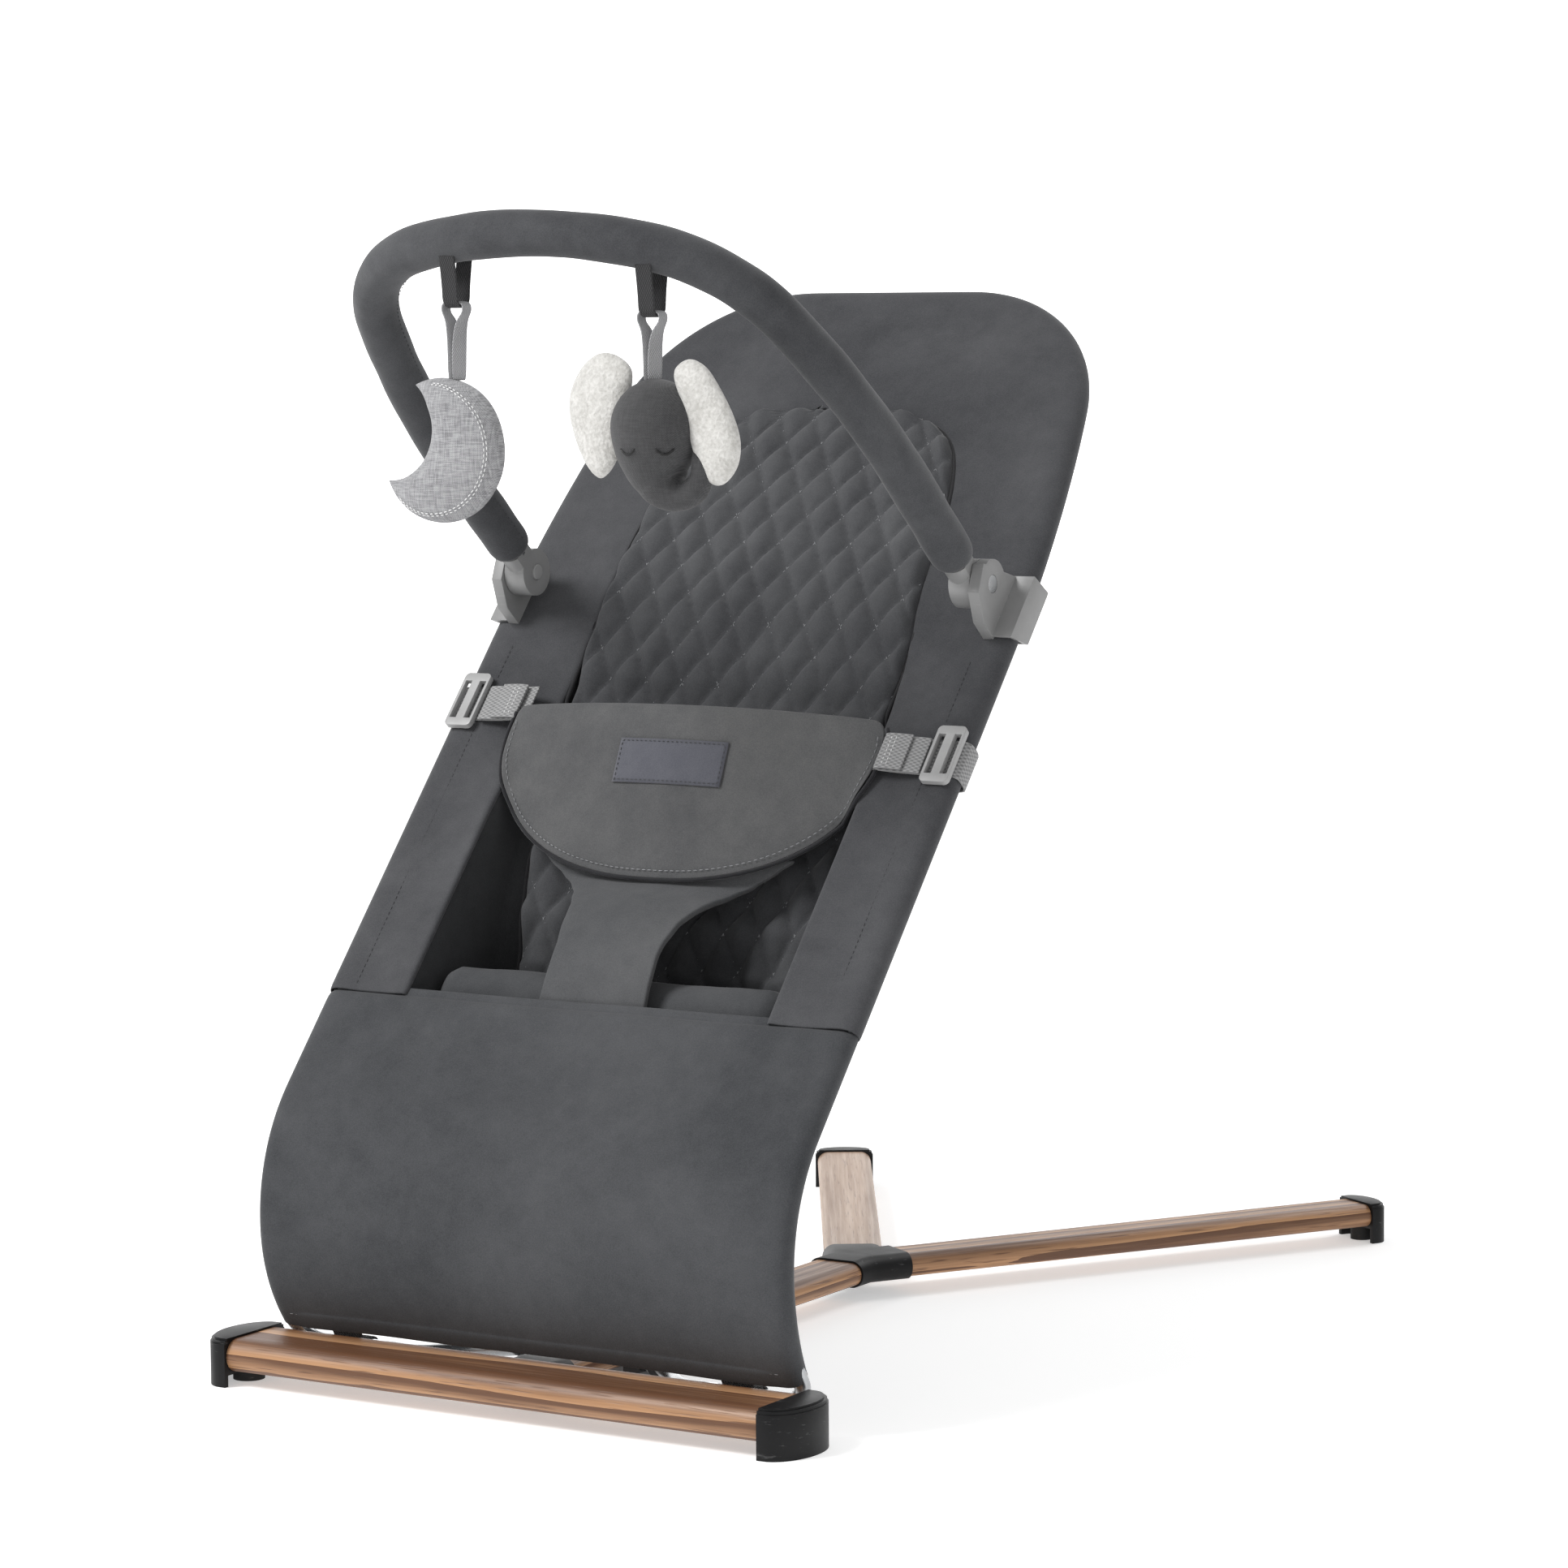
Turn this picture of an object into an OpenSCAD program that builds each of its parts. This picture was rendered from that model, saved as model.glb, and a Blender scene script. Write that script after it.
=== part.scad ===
// Bouncer seat on a Y-shaped wooden base: a spring-steel hoop carries a fabric seat,
// a padded toy bar turns on two clamps, and the seat reclines on the centre beam.
// The origin is on the floor under the middle of the base. +Y points to the back.

/* [Base] */
// Length of the wooden part of the front crossbar
crossbar_length = 348; // [300:1:400]
// Depth of the crossbar, front to back
crossbar_depth = 52; // [44:1:60]
// Height of the crossbar
crossbar_height = 18.5; // [16:0.5:22]
// Width of the centre beam and of the rear legs
beam_width = 36; // [34:1:42]
// Height of the centre beam and of the rear legs
beam_height = 14; // [13:0.5:16]
// Height of the middle of every wooden bar above the floor
bar_z = 17; // [16:0.5:19]
// Distance from the crossbar back to the point where the rear legs meet
rear_joint_back = 366; // [330:1:400]
// Angle of each rear leg from straight back
leg_angle = 31.8; // [26:0.2:38]
// Length of a rear leg, from the meeting point to the end of its wood
leg_length = 361; // [320:1:400]

/* [Seat frame] */
// Slope of the side rails from level
rail_slope = 48.7; // [45:0.1:52]
// Half the distance between the side rails
rail_x = 168; // [160:1:176]
// Radius of the steel rod
rod_r = 4.5; // [4:0.1:5]
// Radius of the spring curve below the seat
spring_r = 106; // [100:1:112]
// Distance back from the crossbar to the middle of the spring curve
spring_back = 115.5; // [110:0.5:122]
// Height of the middle of the spring curve
spring_z = 90; // [86:0.5:96]
// Angle on the spring curve where the rods turn inwards
spring_end = 214.4; // [212:0.2:217]
// Distance back from the crossbar to the recline axle
axle_back = 100; // [96:1:106]

/* [Fabric] */
// Thickness of the seat fabric
cloth = 1.4; // [1:0.1:2]
// Half the width of the seat pocket
pocket_x = 120; // [112:1:126]
// Thickness of the quilted pad
pad_thickness = 7; // [5:0.5:10]

/* [Toy bar] */
// Half the width of the toy bar's arch
arch_x = 150; // [144:1:153]
// Radius of the padded sleeve
sleeve_r = 13; // [11:0.5:14]
// Distance of the toy bar's pivot along the rails from the seam
pivot_s = 286; // [276:1:296]
// Distance of the toy bar's pivot in front of the rails
pivot_off = 28; // [24:1:32]
// Slope of the toy bar from level, leaning forwards
arch_slope = 138.6; // [130:0.2:145]
// Position of the moon along the toy bar
moon_x = -44; // [-60:1:-40]
// Position of the elephant along the toy bar
elephant_x = 78; // [70:1:84]

/* [Hidden] */
$fn = 64;
gap = 0.3;

// Colours
wood = "peru";
satin_black = [0.08, 0.08, 0.09];
grey_plastic = [0.55, 0.55, 0.55];
charcoal = [0.27, 0.28, 0.30];
dark_cloth = [0.18, 0.19, 0.20];
light_web = [0.62, 0.62, 0.62];
linen = [0.66, 0.66, 0.66];
plush = [0.92, 0.92, 0.90];

// Base joints
tenon = 9;
tenon_inset = 2.5;
socket_gap = 0.2;
joint_wall = 1.2;
cap_skirt = 3;
leg_start = 30;
beam_start = 36;
beam_end = rear_joint_back - 22;
cap_lead = 4;
front_cap_r = crossbar_depth / 2 + 1.5;
front_cap_reach = 17;
front_cap_top = bar_z + crossbar_height / 2 + 1.2;
rear_cap_r = beam_width / 2 + 1.5;
rear_cap_reach = 12;
rear_cap_top = bar_z + beam_height / 2 + 1.2;

// Places along Y, with the whole base centred on Y = 0
leg_dir = [sin(leg_angle), cos(leg_angle)];
base_back = rear_joint_back + (leg_length + cap_lead + 0.1) * leg_dir[1]
    + norm([rear_cap_reach * leg_dir[1], rear_cap_r * leg_dir[0]]);
front_y = (front_cap_r - base_back) / 2;
rear_joint_y = front_y + rear_joint_back;
spring_y = front_y + spring_back;
axle_y = front_y + axle_back;
leg_end = [leg_length * leg_dir[0], rear_joint_y + leg_length * leg_dir[1]];

// The straight rail touches the spring curve 64 mm below the seam between seat and apron
rail_dir = [cos(rail_slope), sin(rail_slope)];
rail_drop = 64;
seam_y = spring_y - spring_r * rail_dir[1] + rail_drop * rail_dir[0];
seam_z = spring_z + spring_r * rail_dir[0] + rail_drop * rail_dir[1];

// The rods leave the spring curve, turn inwards and run level towards the centre beam
turn_r = 16;
turn_dir = [-sin(spring_end), cos(spring_end)];
run_y = spring_y + spring_r * cos(spring_end) + turn_r * turn_dir[0];
run_z = spring_z + spring_r * sin(spring_end) + turn_r * turn_dir[1];
split_x = 110;
arm_start_x = 95;
arm_bend_r = 20;
arm_angle = 45;
axle_z = run_z;

// Head hoop: the rails lean inwards on a wide arc, then turn round the two corners
wide_r = 1047;
wide_start = 260;
wide_angle = 9.6;
corner_r = 100;
corner_x = rail_x - wide_r + (wide_r - corner_r) * cos(wide_angle);
corner_s = wide_start + (wide_r - corner_r) * sin(wide_angle);
joiner_s = 235;

// Fabric lies on the front of the rods
cloth_off = rod_r + gap;
sleeve_half = cloth_off + cloth;
wing_top = 289;

// Recline block and cheeks
block_half_x = 22;
block_half_y = 14;
block_half_z = 12;
axle_r = 4;
cheek_inner = 22.6;
cheek_outer = 34;
cheek_r = 12.5;
ball_r = 2.5;
ball_orbit = 8;

// Toy bar arch: three arcs a side and a straight foot
top_r = 250;
top_angle = 17;
bend_r = 88;
bend_angle = 75;
flank_x = arch_x - (top_r - bend_r) * sin(top_angle) - bend_r * sin(bend_angle);
flank_r = flank_x / (1 - sin(bend_angle));
arch_straight = 90;
arch_reach = arch_straight + flank_r * cos(bend_angle) + bend_r * (cos(top_angle) - cos(bend_angle))
    + top_r * (1 - cos(top_angle));
tube_r = 6;
pivot_y = seam_y + pivot_s * rail_dir[0] - pivot_off * rail_dir[1];
pivot_z = seam_z + pivot_s * rail_dir[1] + pivot_off * rail_dir[0];
arch_top_y = pivot_y + arch_reach * cos(arch_slope);
arch_top_z = pivot_z + arch_reach * sin(arch_slope);
hub_inner = 144;
hub_outer = 157.5;
hub_r = 14;
pivot_pin_r = 3;
button_r = 4.5;

// Hanging loops and toys
loop_r = 5;
loop_band = 1.2;
loop_drop = 31;
hang_z = arch_top_z - loop_drop;

// ---------- helpers ----------

// A bar section with flat top and bottom and half-round sides
module flat_oval(w, h) {
    square([w - h, h], center = true);
    for (s = [-1, 1])
        translate([s * (w - h) / 2, 0])
            circle(d = h);
}

// A flat-oval bar along +Y from y0 to y1
module bar_y(w, h, y0, y1) {
    translate([0, y1, 0])
        rotate([90, 0, 0])
            linear_extrude(y1 - y0)
                flat_oval(w, h);
}

// A rectangle with rounded corners
module round_rect(w, h, r) {
    square([w - 2 * r, h], center = true);
    square([w, h - 2 * r], center = true);
    for (x = [-1, 1], y = [-1, 1])
        translate([x * (w / 2 - r), y * (h / 2 - r)])
            circle(r);
}

// A strip of constant thickness along a list of points
module strip(points, t) {
    for (i = [0:len(points) - 2]) {
        step = points[i + 1] - points[i];
        translate(points[i])
            rotate(atan2(step[1], step[0]))
                translate([0, -t / 2])
                    square([norm(step), t]);
        translate(points[i + 1])
            circle(d = t, $fn = 24);
    }
}

// Sideways step at point i of a flat line, long enough that a band of half-width 1 keeps its width at a bend
function miter(line, i) =
    let (before = unit(line[max(i, 1)] - line[max(i, 1) - 1]),
        after = unit(line[min(i + 1, len(line) - 1)] - line[min(i + 1, len(line) - 1) - 1]),
        along = unit(before + after))
    [-along[1], along[0]] / (along * after);

// Band of thickness t that follows a flat line, with mitred corners
module band(line, t) {
    polygon(concat(
        [for (i = [0:len(line) - 1]) line[i] + miter(line, i) * t / 2],
        [for (i = [len(line) - 1:-1:0]) line[i] - miter(line, i) * t / 2]
    ));
}

// A rod along +Z
module rod(r, h) {
    cylinder(r = r, h = h);
}

// The other half of an outline that is the same on both sides of X = 0
function mirrored(points) = [for (i = [len(points) - 1:-1:0]) [-points[i][0], points[i][1]]];

function unit(v) = v / norm(v);

// Direction of a path at point i
function heading(path, i) = unit(path[min(i + 1, len(path) - 1)] - path[max(i - 1, 0)]);

// One sideways direction for each point of a path, carried along without twist
function sideways(path, start) = [
    for (i = 0, u = start; i < len(path); i = i + 1,
        u = unit(u - (u * heading(path, min(i, len(path) - 1))) * heading(path, min(i, len(path) - 1)))) u
];

// A round bar of radius r bent along a path; start is square to the path's first stretch
module bent_rod(path, r, start) {
    sides = 16;
    across = sideways(path, start);
    last = len(path) - 1;
    rings = [for (i = [0:last], k = [0:sides - 1])
        path[i] + r * (cos(k * 360 / sides) * across[i] + sin(k * 360 / sides) * cross(heading(path, i), across[i]))];
    walls = [for (i = [0:last - 1], k = [0:sides - 1])
        [i * sides + k, (i + 1) * sides + k, (i + 1) * sides + (k + 1) % sides, i * sides + (k + 1) % sides]];
    near_end = [for (k = [0:sides - 1]) k];
    far_end = [for (k = [sides - 1:-1:0]) last * sides + k];
    polyhedron(points = rings, faces = concat(walls, [near_end, far_end]), convexity = 8);
}

// The left-hand copy of a right-hand part
module on_left() {
    mirror([1, 0, 0])
        children();
}

// Seat frame: Y runs up the rails from the seam, Z points out of the seat's front
module in_seat() {
    translate([0, seam_y, seam_z])
        rotate([rail_slope, 0, 0])
            children();
}

// Turns a shape drawn in X and Y into the plane of Y and Z, with X as its thickness
module side_on() {
    rotate([90, 0, 90])
        children();
}

// A profile drawn as [distance up the rails, distance in front], spread over X
module seat_profile(half_x) {
    in_seat()
        translate([-half_x, 0, 0])
            side_on()
                linear_extrude(2 * half_x)
                    children();
}

// Toy bar frame: Y runs from the pivots to the top of the arch
module in_arch() {
    translate([0, pivot_y, pivot_z])
        rotate([arch_slope, 0, 0])
            children();
}

// ---------- base ----------

// Crossbar with a tenon at each end
module front_crossbar() {
    half = crossbar_length / 2;
    inset = 2 * tenon_inset;
    color(wood)
        translate([0, front_y, bar_z])
            rotate([0, 0, 90])
                difference() {
                    union() {
                        bar_y(crossbar_depth, crossbar_height, -half, half);
                        bar_y(crossbar_depth - inset, crossbar_height - inset, -half - tenon, half + tenon);
                    }
                    for (s = [-1, 1])
                        translate([0, s * (half + tenon / 2), -crossbar_height])
                            rod(1.5, crossbar_height);
                }
}

// A wooden bar along +Y with a tenon at each end, the far one bored for a screw
module tenoned_bar(y0, y1, near_tenon) {
    inset = 2 * tenon_inset;
    difference() {
        union() {
            bar_y(beam_width, beam_height, y0, y1);
            bar_y(beam_width - inset, beam_height - inset, y0 - near_tenon, y1 + tenon);
        }
        translate([0, y1 + tenon / 2, -beam_height])
            rod(1.5, beam_height);
    }
}

// Plan of a cap: straight sides over the bar's end, then half an ellipse, all drawn in by d
module cap_plan(half, reach, d) {
    polygon(concat(
        [[-cap_lead, -half + d]],
        [for (i = [0:24]) [(reach - d) * cos(i * 7.5 - 90), (half - d) * sin(i * 7.5 - 90)]],
        [[-cap_lead, half - d]]
    ));
}

// Cap that fits over a bar's tenon, hollow below, with its top edge stepped in
module end_cap(w, h, half, reach, top_z) {
    inset = 2 * (tenon_inset - socket_gap);
    difference() {
        union() {
            linear_extrude(top_z - 3)
                cap_plan(half, reach, 0);
            linear_extrude(top_z - 1.2)
                cap_plan(half, reach, 0.8);
            linear_extrude(top_z)
                cap_plan(half, reach, 2.4);
        }
        translate([-cap_lead - 1, 0, bar_z])
            rotate([0, 0, -90])
                bar_y(w - inset, h - inset, 0, tenon + 1.5);
        translate([0, 0, -1])
            linear_extrude(1 + bar_z - h / 2 - 1)
                cap_plan(half, reach, cap_skirt);
        translate([-cap_lead - 1, -half + cap_skirt, -1])
            cube([cap_lead + 1.2, 2 * (half - cap_skirt), bar_z - h / 2]);
        translate([tenon / 2 - cap_lead, 0, 0])
            rod(1.7, bar_z);
    }
}

module front_foot_right() {
    color(satin_black)
        translate([crossbar_length / 2 + cap_lead + 0.1, front_y, 0])
            end_cap(crossbar_depth, crossbar_height, front_cap_r, front_cap_reach, front_cap_top);
}

module front_foot_left() {
    on_left()
        front_foot_right();
}

module rear_foot_right() {
    color(satin_black)
        translate([leg_end[0] + (cap_lead + 0.1) * leg_dir[0], leg_end[1] + (cap_lead + 0.1) * leg_dir[1], 0])
            rotate([0, 0, 90 - leg_angle])
                end_cap(beam_width, beam_height, rear_cap_r, rear_cap_reach, rear_cap_top);
}

module rear_foot_left() {
    on_left()
        rear_foot_right();
}

// Rubber pads pressed up inside the four skirts
module foot_pads() {
    color([0.2, 0.2, 0.2])
        for (s = [-1, 1]) {
            translate([s * (crossbar_length / 2 + tenon / 2), front_y, 0])
                foot_pad(9, bar_z - crossbar_height / 2 - 0.2);
            translate([s * (leg_end[0] + tenon / 2 * leg_dir[0]), leg_end[1] + tenon / 2 * leg_dir[1], 0])
                foot_pad(7, bar_z - beam_height / 2 - 0.2);
        }
}

// A round rubber pad, bored for the screw head
module foot_pad(r, h) {
    difference() {
        rod(r, h - 1);
        translate([0, 0, -1])
            rod(2.4, h + 1);
    }
}

// Moulded block that bolts the centre beam to the back of the crossbar
module front_joint() {
    inset = 2 * (tenon_inset - socket_gap);
    color(satin_black)
        translate([0, front_y, bar_z])
            difference() {
                bar_y(beam_width + 2 * joint_wall, beam_height + 2 * joint_wall,
                    crossbar_depth / 2 - 8, beam_start - 0.1);
                rotate([0, 0, 90])
                    bar_y(crossbar_depth + 0.4, crossbar_height + 0.4, -30, 30);
                bar_y(beam_width - inset, beam_height - inset, beam_start - 12, beam_start + 1);
            }
}

module centre_beam() {
    color(wood)
        translate([0, front_y, bar_z])
            difference() {
                tenoned_bar(beam_start, beam_end, 8);
                translate([0, axle_back, axle_z - bar_z])
                    rotate([0, 90, 0])
                        cylinder(r = axle_r + 0.2, h = 60, center = true);
            }
}

// Moulded Y that holds the centre beam and the two rear legs
module rear_joint() {
    w = beam_width + 2 * joint_wall;
    h = beam_height + 2 * joint_wall;
    inset = 2 * (tenon_inset - socket_gap);
    color(satin_black)
        translate([0, rear_joint_y, bar_z])
            difference() {
                union() {
                    bar_y(w, h, beam_end + 0.1 - rear_joint_back, 0);
                    for (s = [-1, 1])
                        rotate([0, 0, -s * leg_angle])
                            bar_y(w, h, 0, leg_start - 0.1);
                    rotate_extrude()
                        intersection() {
                            flat_oval(w, h);
                            translate([0, -h])
                                square([w, 2 * h]);
                        }
                }
                bar_y(beam_width - inset, beam_height - inset,
                    beam_end - rear_joint_back - 1, beam_end - rear_joint_back + tenon + 0.5);
                for (s = [-1, 1])
                    rotate([0, 0, -s * leg_angle])
                        bar_y(beam_width - inset, beam_height - inset, leg_start - 11.5, leg_start + 1);
            }
}

module rear_leg_right() {
    color(wood)
        difference() {
            translate([0, rear_joint_y, bar_z])
                rotate([0, 0, -leg_angle])
                    tenoned_bar(leg_start, leg_length, 11);
            translate([-60 + 0.15, rear_joint_y - 40, 0])
                cube([60, 120, 40]);
        }
}

module rear_leg_left() {
    on_left()
        rear_leg_right();
}

// Screws through the caps from below, into the tenons
module base_screws() {
    color("silver")
        for (s = [-1, 1]) {
            translate([s * (crossbar_length / 2 + tenon / 2), front_y, 0])
                cap_screw(bar_z - crossbar_height / 2);
            translate([s * (leg_end[0] + tenon / 2 * leg_dir[0]), leg_end[1] + tenon / 2 * leg_dir[1], 0])
                cap_screw(bar_z - beam_height / 2);
        }
}

// A screw whose head lies under the socket wall
module cap_screw(z) {
    translate([0, 0, z - 3.2])
        rod(1.4, 9);
    translate([0, 0, z - 5])
        rod(2.2, 1.9);
}

// ---------- recline mechanism ----------

// Sleeve moulded round the centre beam, bored across for the axle
module recline_block() {
    color(grey_plastic)
        translate([0, axle_y, bar_z])
            difference() {
                rotate([90, 0, 0])
                    linear_extrude(2 * block_half_y, center = true)
                        round_rect(2 * block_half_x, 2 * block_half_z, 3);
                bar_y(beam_width + 0.4, beam_height + 0.4, -block_half_y - 1, block_half_y + 1);
                translate([0, 0, axle_z - bar_z])
                    rotate([0, 90, 0])
                        cylinder(r = axle_r + 0.04, h = 60, center = true);
                for (s = [-1, 1])
                    translate([s * block_half_x, 0, axle_z - bar_z + ball_orbit])
                        rotate([0, s * 90, 0])
                            translate([0, 0, -3])
                                rod(ball_r + 0.1, 4);
            }
}

module recline_axle() {
    color("silver")
        translate([0, axle_y, axle_z])
            rotate([0, 90, 0]) {
                cylinder(r = axle_r, h = 2 * cheek_outer + 6, center = true);
                translate([0, 0, cheek_outer + gap])
                    rod(7, 2.7);
            }
}

module axle_nut() {
    color("silver")
        translate([-cheek_outer - gap, axle_y, axle_z])
            rotate([0, -90, 0])
                difference() {
                    cylinder(r = 7, h = 4, $fn = 6);
                    translate([0, 0, -1])
                        cylinder(r = axle_r + 0.05, h = 6, $fn = 32);
                }
}

// Sprung balls that click into the cheeks
module detent_balls() {
    color("silver")
        for (s = [-1, 1])
            translate([s * (block_half_x - 0.3), axle_y, axle_z + ball_orbit])
                sphere(ball_r);
}

// Rod centreline of the right arm where its slanting stretch starts
arm_bend_x = arm_start_x - arm_bend_r * sin(arm_angle);
arm_bend_y = run_y + arm_bend_r * (1 - cos(arm_angle));
socket_x = 38;
socket_y = arm_bend_y + (arm_bend_x - socket_x) * tan(arm_angle);
recline_notches = [0, -11, -22];

// Disc on the axle with a socket for the spring arm and a notched track for the ball
module recline_cheek_right() {
    color(grey_plastic)
        difference() {
            union() {
                translate([cheek_inner, axle_y, axle_z])
                    rotate([0, 90, 0])
                        rod(cheek_r, cheek_outer - cheek_inner);
                translate([cheek_inner + 0.6, axle_y - 24, axle_z - 6])
                    cube([cheek_outer - cheek_inner - 0.6, 20, 12]);
                translate([socket_x, socket_y, axle_z])
                    rotate([90, 0, 90 - arm_angle])
                        translate([0, 0, -3])
                            rod(7.5, 16);
            }
            translate([0, axle_y, axle_z])
                rotate([0, 90, 0])
                    rod(axle_r + 0.05, 60);
            translate([cheek_inner - 0.9, axle_y, axle_z])
                rotate([0, 90, 0])
                    rotate([0, 0, 90])
                        ball_track();
            translate([socket_x, socket_y, axle_z])
                rotate([90, 0, 90 - arm_angle])
                    translate([0, 0, -2.2])
                        rod(rod_r + 0.05, 30);
        }
}

// Round groove that the ball follows over the recline's travel, with a dimple at each stop
module ball_track() {
    rotate([0, 0, 80])
        rotate_extrude(angle = 90)
            translate([ball_orbit, 0])
                circle(ball_r + 0.35, $fn = 24);
    for (a = recline_notches)
        rotate([0, 0, 90 - a])
            translate([ball_orbit, 0, 0])
                sphere(ball_r + 0.6);
}

module recline_cheek_left() {
    on_left()
        recline_cheek_right();
}

// Steel rod from the cheek, slanting forwards and out to the split in the level run
module spring_arm_right() {
    arm_length = (arm_bend_x - socket_x) / cos(arm_angle) + 1.8;
    path = concat(
        [[split_x - 0.2, run_y, run_z]],
        [for (i = [0:6]) let (a = i * arm_angle / 6)
            [arm_start_x - arm_bend_r * sin(a), run_y + arm_bend_r * (1 - cos(a)), run_z]],
        [[arm_bend_x - arm_length * cos(arm_angle), arm_bend_y + arm_length * sin(arm_angle), run_z]]
    );
    color("silver")
        bent_rod(path, rod_r, [0, 0, 1]);
}

module spring_arm_left() {
    on_left()
        spring_arm_right();
}

// ---------- seat frame ----------

// Straight rail, spring curve, inward turn and the outer half of the level run
module side_rail_right() {
    joint = joiner_s - 0.1;
    turn_centre = [rail_x - turn_r, spring_y + spring_r * cos(spring_end), spring_z + spring_r * sin(spring_end)];
    path = concat(
        [[rail_x, seam_y + joint * rail_dir[0], seam_z + joint * rail_dir[1]]],
        [for (i = [0:14]) let (a = 90 + rail_slope + i * (spring_end - 90 - rail_slope) / 14)
            [rail_x, spring_y + spring_r * cos(a), spring_z + spring_r * sin(a)]],
        [for (i = [1:6]) turn_centre
            + turn_r * [cos(i * 15), sin(i * 15) * turn_dir[0], sin(i * 15) * turn_dir[1]]],
        [[split_x, run_y, run_z]]
    );
    color("silver")
        bent_rod(path, rod_r, [1, 0, 0]);
}

module side_rail_left() {
    on_left()
        side_rail_right();
}

// Hoop round the head: two rail ends, two wide arcs, two corners and the top
module head_hoop() {
    right = [for (p = hoop_side(0, joiner_s + 0.1)) [p[0], p[1], 0]];
    left = [for (i = [len(right) - 1:-1:0]) [-right[i][0], right[i][1], 0]];
    color("silver")
        in_seat()
            bent_rod(concat(right, left), rod_r, [1, 0, 0]);
}

// Short sleeve over the joint between rail and hoop, notched clear of the fabric
module rail_joiner_right() {
    color("silver")
        in_seat()
            translate([rail_x, joiner_s - 16, 0])
                rotate([-90, 0, 0])
                    difference() {
                        rod(rod_r + 0.25, 32);
                        translate([0, 0, -1])
                            rod(rod_r + 0.03, 34);
                    }
}

module rail_joiner_left() {
    on_left()
        rail_joiner_right();
}

// ---------- fabric ----------

// Angle on the wide arc, moved outwards by d, that lies s0 up the rails
function wide_from(d, s0) = asin(max(0, s0 - wide_start) / (wide_r + d));

// Points of the hoop's right half, moved outwards by d, from s0 up the rails to the top
function hoop_side(d, s0) = concat(
    s0 < wide_start ? [[rail_x + d, s0]] : [],
    [for (i = [0:4]) let (a = wide_from(d, s0) + i * (wide_angle - wide_from(d, s0)) / 4)
        [rail_x - wide_r + (wide_r + d) * cos(a), wide_start + (wide_r + d) * sin(a)]],
    [for (i = [1:12]) let (a = wide_angle + i * (90 - wide_angle) / 12)
        [corner_x + (corner_r + d) * cos(a), corner_s + (corner_r + d) * sin(a)]]
);

module hoop_outline(d, s0) {
    side = hoop_side(d, s0);
    polygon(concat(side, mirrored(side)));
}

// Upper cover: front panel, edge round the hoop and a turned-in strip behind it
module back_cover() {
    color(charcoal)
        in_seat() {
            translate([0, 0, cloth_off])
                linear_extrude(cloth)
                    hoop_outline(sleeve_half, wing_top + 0.2);
            translate([0, 0, -sleeve_half])
                linear_extrude(sleeve_half + cloth_off + cloth / 2)
                    hoop_band(sleeve_half, cloth_off);
            translate([0, 0, -sleeve_half])
                linear_extrude(cloth)
                    hoop_band(sleeve_half, -14);
        }
}

// The band between two outlines of the hoop
module hoop_band(outside, inside) {
    difference() {
        hoop_outline(outside, wing_top + 0.2);
        hoop_outline(inside, wing_top - 1);
    }
}

// Side panel beside the pocket, folded round its rail
module side_wing_right() {
    color(charcoal)
        seat_strip(pocket_x + 1.5, 2, wing_top);
}

// A panel that lies on one rail from x0 outwards and wraps round the rail to its back
module seat_strip(x0, s0, s1) {
    back_x = rail_x - 9;
    in_seat()
        translate([0, s1, 0])
            rotate([90, 0, 0])
                linear_extrude(s1 - s0) {
                    translate([x0, cloth_off])
                        square([rail_x + sleeve_half - x0, cloth]);
                    translate([rail_x + cloth_off, -sleeve_half])
                        square([cloth, 2 * sleeve_half]);
                    translate([back_x, -sleeve_half])
                        square([rail_x + sleeve_half - back_x, cloth]);
                }
}

module side_wing_left() {
    on_left()
        side_wing_right();
}

// Sling of the seat, as points [up the rails, in front of them], and its two cheeks
pocket_line = [[286, 3.4], [215, -14], [125, -31], [66, -54], [40, -74], [22, -74], [8, -56], [4, -16], [4, -3]];

module seat_pocket() {
    wall = 1.4;
    color(dark_cloth) {
        seat_profile(pocket_x)
            band(pocket_line, 1.6);
        for (s = [0, 1])
            mirror([s, 0, 0])
                in_seat()
                    translate([pocket_x - wall, 0, 0])
                        side_on()
                            linear_extrude(wall)
                                polygon(concat(pocket_line, [[4, 3.4]]));
    }
}

// Pad on the sling and the back cover: straight steps up the back, rounded at the top
pad_line = [[62, -47], [126, -23.5], [216, -6.5], [286, 11.2], [420, 11.2]];
pad_outline = [[99, 58], [105, 125], [109, 250], [103, 335], [96, 378], [84, 405], [64, 420], [32, 427]];

module quilted_pad() {
    color(dark_cloth)
        intersection() {
            seat_profile(pocket_x)
                band(pad_line, pad_thickness);
            in_seat()
                translate([0, 0, -100])
                    linear_extrude(200)
                        polygon(concat(pad_outline, mirrored(pad_outline)));
        }
}

// Cushion that fills the front of the sling and makes its raised lip
module seat_cushion() {
    color(charcoal)
        seat_profile(pocket_x - 3)
            polygon([[8, -8], [27, -7], [34, -11], [37, -22], [33, -42], [22, -62], [14, -54], [8, -20]]);
}

// Front panel: flat below the seam, then round the spring curve to the hem, with a sleeve round each rail
module front_apron() {
    edge = rail_x + sleeve_half;
    color(charcoal) {
        apron_sheet(spring_r + cloth_off, cloth, -edge, edge);
        for (s = [0, 1])
            mirror([s, 0, 0]) {
                apron_sheet(spring_r - sleeve_half, 2 * sleeve_half, rail_x + cloth_off, edge);
                apron_sheet(spring_r - sleeve_half, cloth, rail_x - 9, edge);
            }
    }
}

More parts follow.
